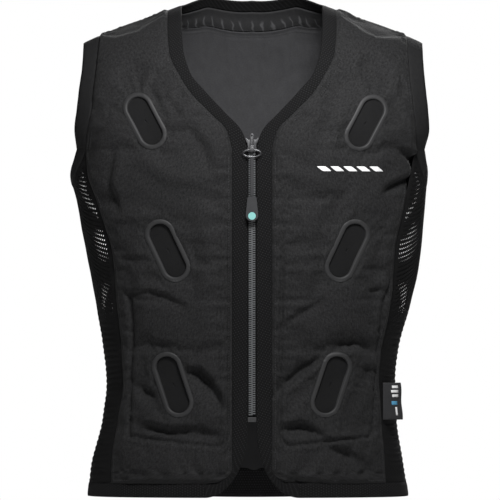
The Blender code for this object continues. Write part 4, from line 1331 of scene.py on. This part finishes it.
def flatPiece(bm, outline, y0, y1):
    rings = [[bm.verts.new((x / 1000, y, z / 1000)) for x, z in outline] for y in (y0, y1)]
    count = len(outline)
    for i in range(count):
        n = (i + 1) % count
        bm.faces.new((rings[0][i], rings[0][n], rings[1][n], rings[1][i]))
    bm.faces.new(rings[0])
    bm.faces.new(rings[1][::-1])


def roundLine(z, wide, tall, angles):
    return [(wide * math.cos(a), z + tall * math.sin(a)) for a in angles]


def oblong(half, high, low):
    return [(half, high), (half, low), (-half, low), (-half, high)]


def makeSlider():
    # outlines in mm
    face = -float(depthAt(front, zipper["top"])) - layers["band"][0] - slider["play"]
    half = [(1.4, -150.6), (2.9, -154.6), (4.6, -155.2), (7.3, -152.4), (8.2, -153.8), (7.1, -157.4),
            (5.5, -160.2), (5.2, -163.2), (6.2, -167.4), (5.0, -169.8)]
    bm = bmesh.new()
    plate = half + [(-x, z) for x, z in reversed(half)]
    flatPiece(bm, plate, face - slider["plate"], face)
    flatPiece(bm, plate, face + 0.0036, face + 0.0046)
    flatPiece(bm, oblong(1.2, -149.2, -156.0), face, face + 0.004)
    arch = roundLine(-149.9, 2.3, 2.3, np.linspace(0, math.pi, 9))
    inner = roundLine(-150.4, 0.8, 0.8, np.linspace(math.pi, 0, 7))
    rails = [(2.6, -163.0)] + arch + [(-2.6, -163.0), (-0.8, -162.0)] + inner + [(0.8, -162.0)]
    top = face - slider["plate"]
    flatPiece(bm, rails, top - slider["rail"], top + 0.0002)
    flatPiece(bm, roundLine(-166.6, 3.3, 2.7, np.linspace(0, math.tau, 18)[:-1]), top - 0.0040, top - 0.0026)
    flatPiece(bm, oblong(2.5, -162.0, -166.0), top - 0.0038, top)
    finishPiece(solidObject("slider_shell", bm, 0.00045), "sliderMetal",
                nodes=["slider_body"])
    low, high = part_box("pull_ring")
    bm = bmesh.new()
    for sign in (-1, 1):
        spot = Vector((sign * high[0] * 0.48, low[1] - 0.0001, low[2] + 0.0016))
        bmesh.ops.create_icosphere(bm, subdivisions=2, radius=0.0013, matrix=Matrix.Translation(spot))
    finishPiece(solidObject("ring_knobs", bm, 0.0001), "sliderMetal", body="pull")


makeSlider()


# Plain dashes in the place of the chest print, in mm
dash = dict(count=5, x=86, pitch=15.5, z=-190.0, lean=3.5, halfWide=5.2, halfTall=3.0)


def makeChestDashes():
    u, v = np.meshgrid(np.linspace(-1, 1, 14), np.linspace(-1, 1, 8))
    for number in range(dash["count"]):
        cx = dash["x"] + dash["pitch"] * number
        x = (cx + u * dash["halfWide"] * np.sqrt(1 - 0.18 * v ** 4) + v * dash["lean"]) / 1000
        z = (dash["z"] - v * dash["halfTall"] * np.sqrt(1 - 0.10 * u ** 4)) / 1000
        point, normal = frontSite(wearerLeft, x, z)
        base = layers["panel"][0] + puffAt(wearerLeft, x, z)
        obj = shellObject(f"chest_dash_{number}", point, normal, base + 0.00035, base - 0.0003)
        finishPiece(obj, "palePrint")


makeChestDashes()

# Plain bars on the label: top, bottom, left and right as shares, tone
labelBars = (
    (0.08, 0.15, 0.46, 0.80, "palePrint"),
    (0.20, 0.27, 0.40, 0.80, "palePrint"),
    (0.32, 0.39, 0.46, 0.80, "palePrint"),
    (0.50, 0.60, 0.42, 0.74, "bluePrint"),
    (0.66, 0.88, 0.60, 0.70, "palePrint"),
)


def makeLabel():
    # cloth tab from the side seam, curled a little, with plain woven bars
    low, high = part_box("side_label")
    columns, rows = 16, 26
    top, bottom = high[2], low[2]
    start, end = Vector((low[0] + 0.0004, low[1] + 0.0004)), Vector((high[0] - 0.0008, high[1] - 0.0008))
    points = np.zeros((rows, columns, 3))
    for r in range(rows):
        share = r / (rows - 1)
        for c in range(columns):
            t = c / (columns - 1)
            reach = t * (0.90 + 0.10 * share)
            x, y = start.lerp(end, reach)
            curl = 0.0016 * math.sin(t * math.pi) * (0.4 + share) + 0.0008 * math.sin(share * 9) * t
            points[r, c] = (x + curl * 0.6, y - curl * 0.8, top + (bottom - top) * share)
    normals = np.broadcast_to(np.array([0.61, -0.79, 0.0]), points.shape)
    obj = shellObject("side_label_cloth", points, normals, *layers["label"])
    for number, (top, bottom, left, right, tone) in enumerate(labelBars):
        r, c = np.linspace(top, bottom, 5), np.linspace(left, right, 4)
        patch = np.stack([resampleGrid(points[..., k], r, c) for k in range(3)], -1)
        out = np.broadcast_to(normals[0, 0], patch.shape)
        finishPiece(shellObject(f"label_bar_{number}", patch, out, *layers["labelBar"]), tone)
    finishPiece(obj, "labelCloth", nodes=["side_label"])
    declareSheet(obj, points)


makeLabel()
print("hard pieces finished")

# Floor, light and camera
studio = dict(fill=0.085, floorZ=-0.95, floorHalf=4.0, floorGlow=0.22)
reach, level = studio["floorHalf"], studio["floorZ"]
floorMesh = bpy.data.meshes.new("floor")
floorCorners = [(reach * x, reach * y, level) for x, y in ((-1, -1), (1, -1), (1, 1), (-1, 1))]
floorMesh.from_pydata(floorCorners, [], [(0, 1, 2, 3)])
floorMesh.materials.append(materials["paleFloor"])
linkedObject("floor", floorMesh)
floorShader = materials["paleFloor"].node_tree.nodes["Principled BSDF"]
floorShader.inputs["Emission Color"].default_value = (1, 1, 1, 1)
floorShader.inputs["Emission Strength"].default_value = studio["floorGlow"]

world = bpy.data.worlds.new("studio")
bpy.context.scene.world = world
world.use_nodes = True
tree = world.node_tree
background = tree.nodes["Background"]
background.inputs["Color"].default_value = (1, 1, 1, 1)
# the camera sees white, and the vest gets a weaker fill
seen = tree.nodes.new("ShaderNodeLightPath").outputs["Is Camera Ray"]
strength = mathNode(tree, "MULTIPLY_ADD", seen, 1.0 - studio["fill"], studio["fill"])
feed(tree, background.inputs["Strength"], strength)
lights = (
    # place, size, watts
    ((0.10, -0.72, 0.36), 0.22, 13),
    ((-0.3, -2.2, -0.1), 0.8, 3),
    ((0.3, 2.0, 0.5), 1.0, 40),
)
for number, (place, size, watts) in enumerate(lights):
    data = bpy.data.lights.new(f"softbox{number}", "AREA")
    data.size, data.energy = size, watts
    lamp = linkedObject(f"softbox{number}", data)
    lamp.location = place
    lamp.visible_camera = False
    lamp.rotation_euler = (Vector((0, 0, -0.28)) - Vector(place)).to_track_quat("-Z", "Y").to_euler()
cameraDistance, widthSeen, sensorWidth = 12.0, 0.61, 36
camera = bpy.data.cameras.new("camera")
camera.lens = sensorWidth * cameraDistance / widthSeen
cameraObject = linkedObject("camera", camera)
cameraObject.location = (-0.0024, -cameraDistance, -0.288)
cameraObject.rotation_euler = (math.pi / 2, 0, 0)
bpy.context.scene.camera = cameraObject
bpy.context.scene.view_settings.view_transform = "Standard"
print("stage set")
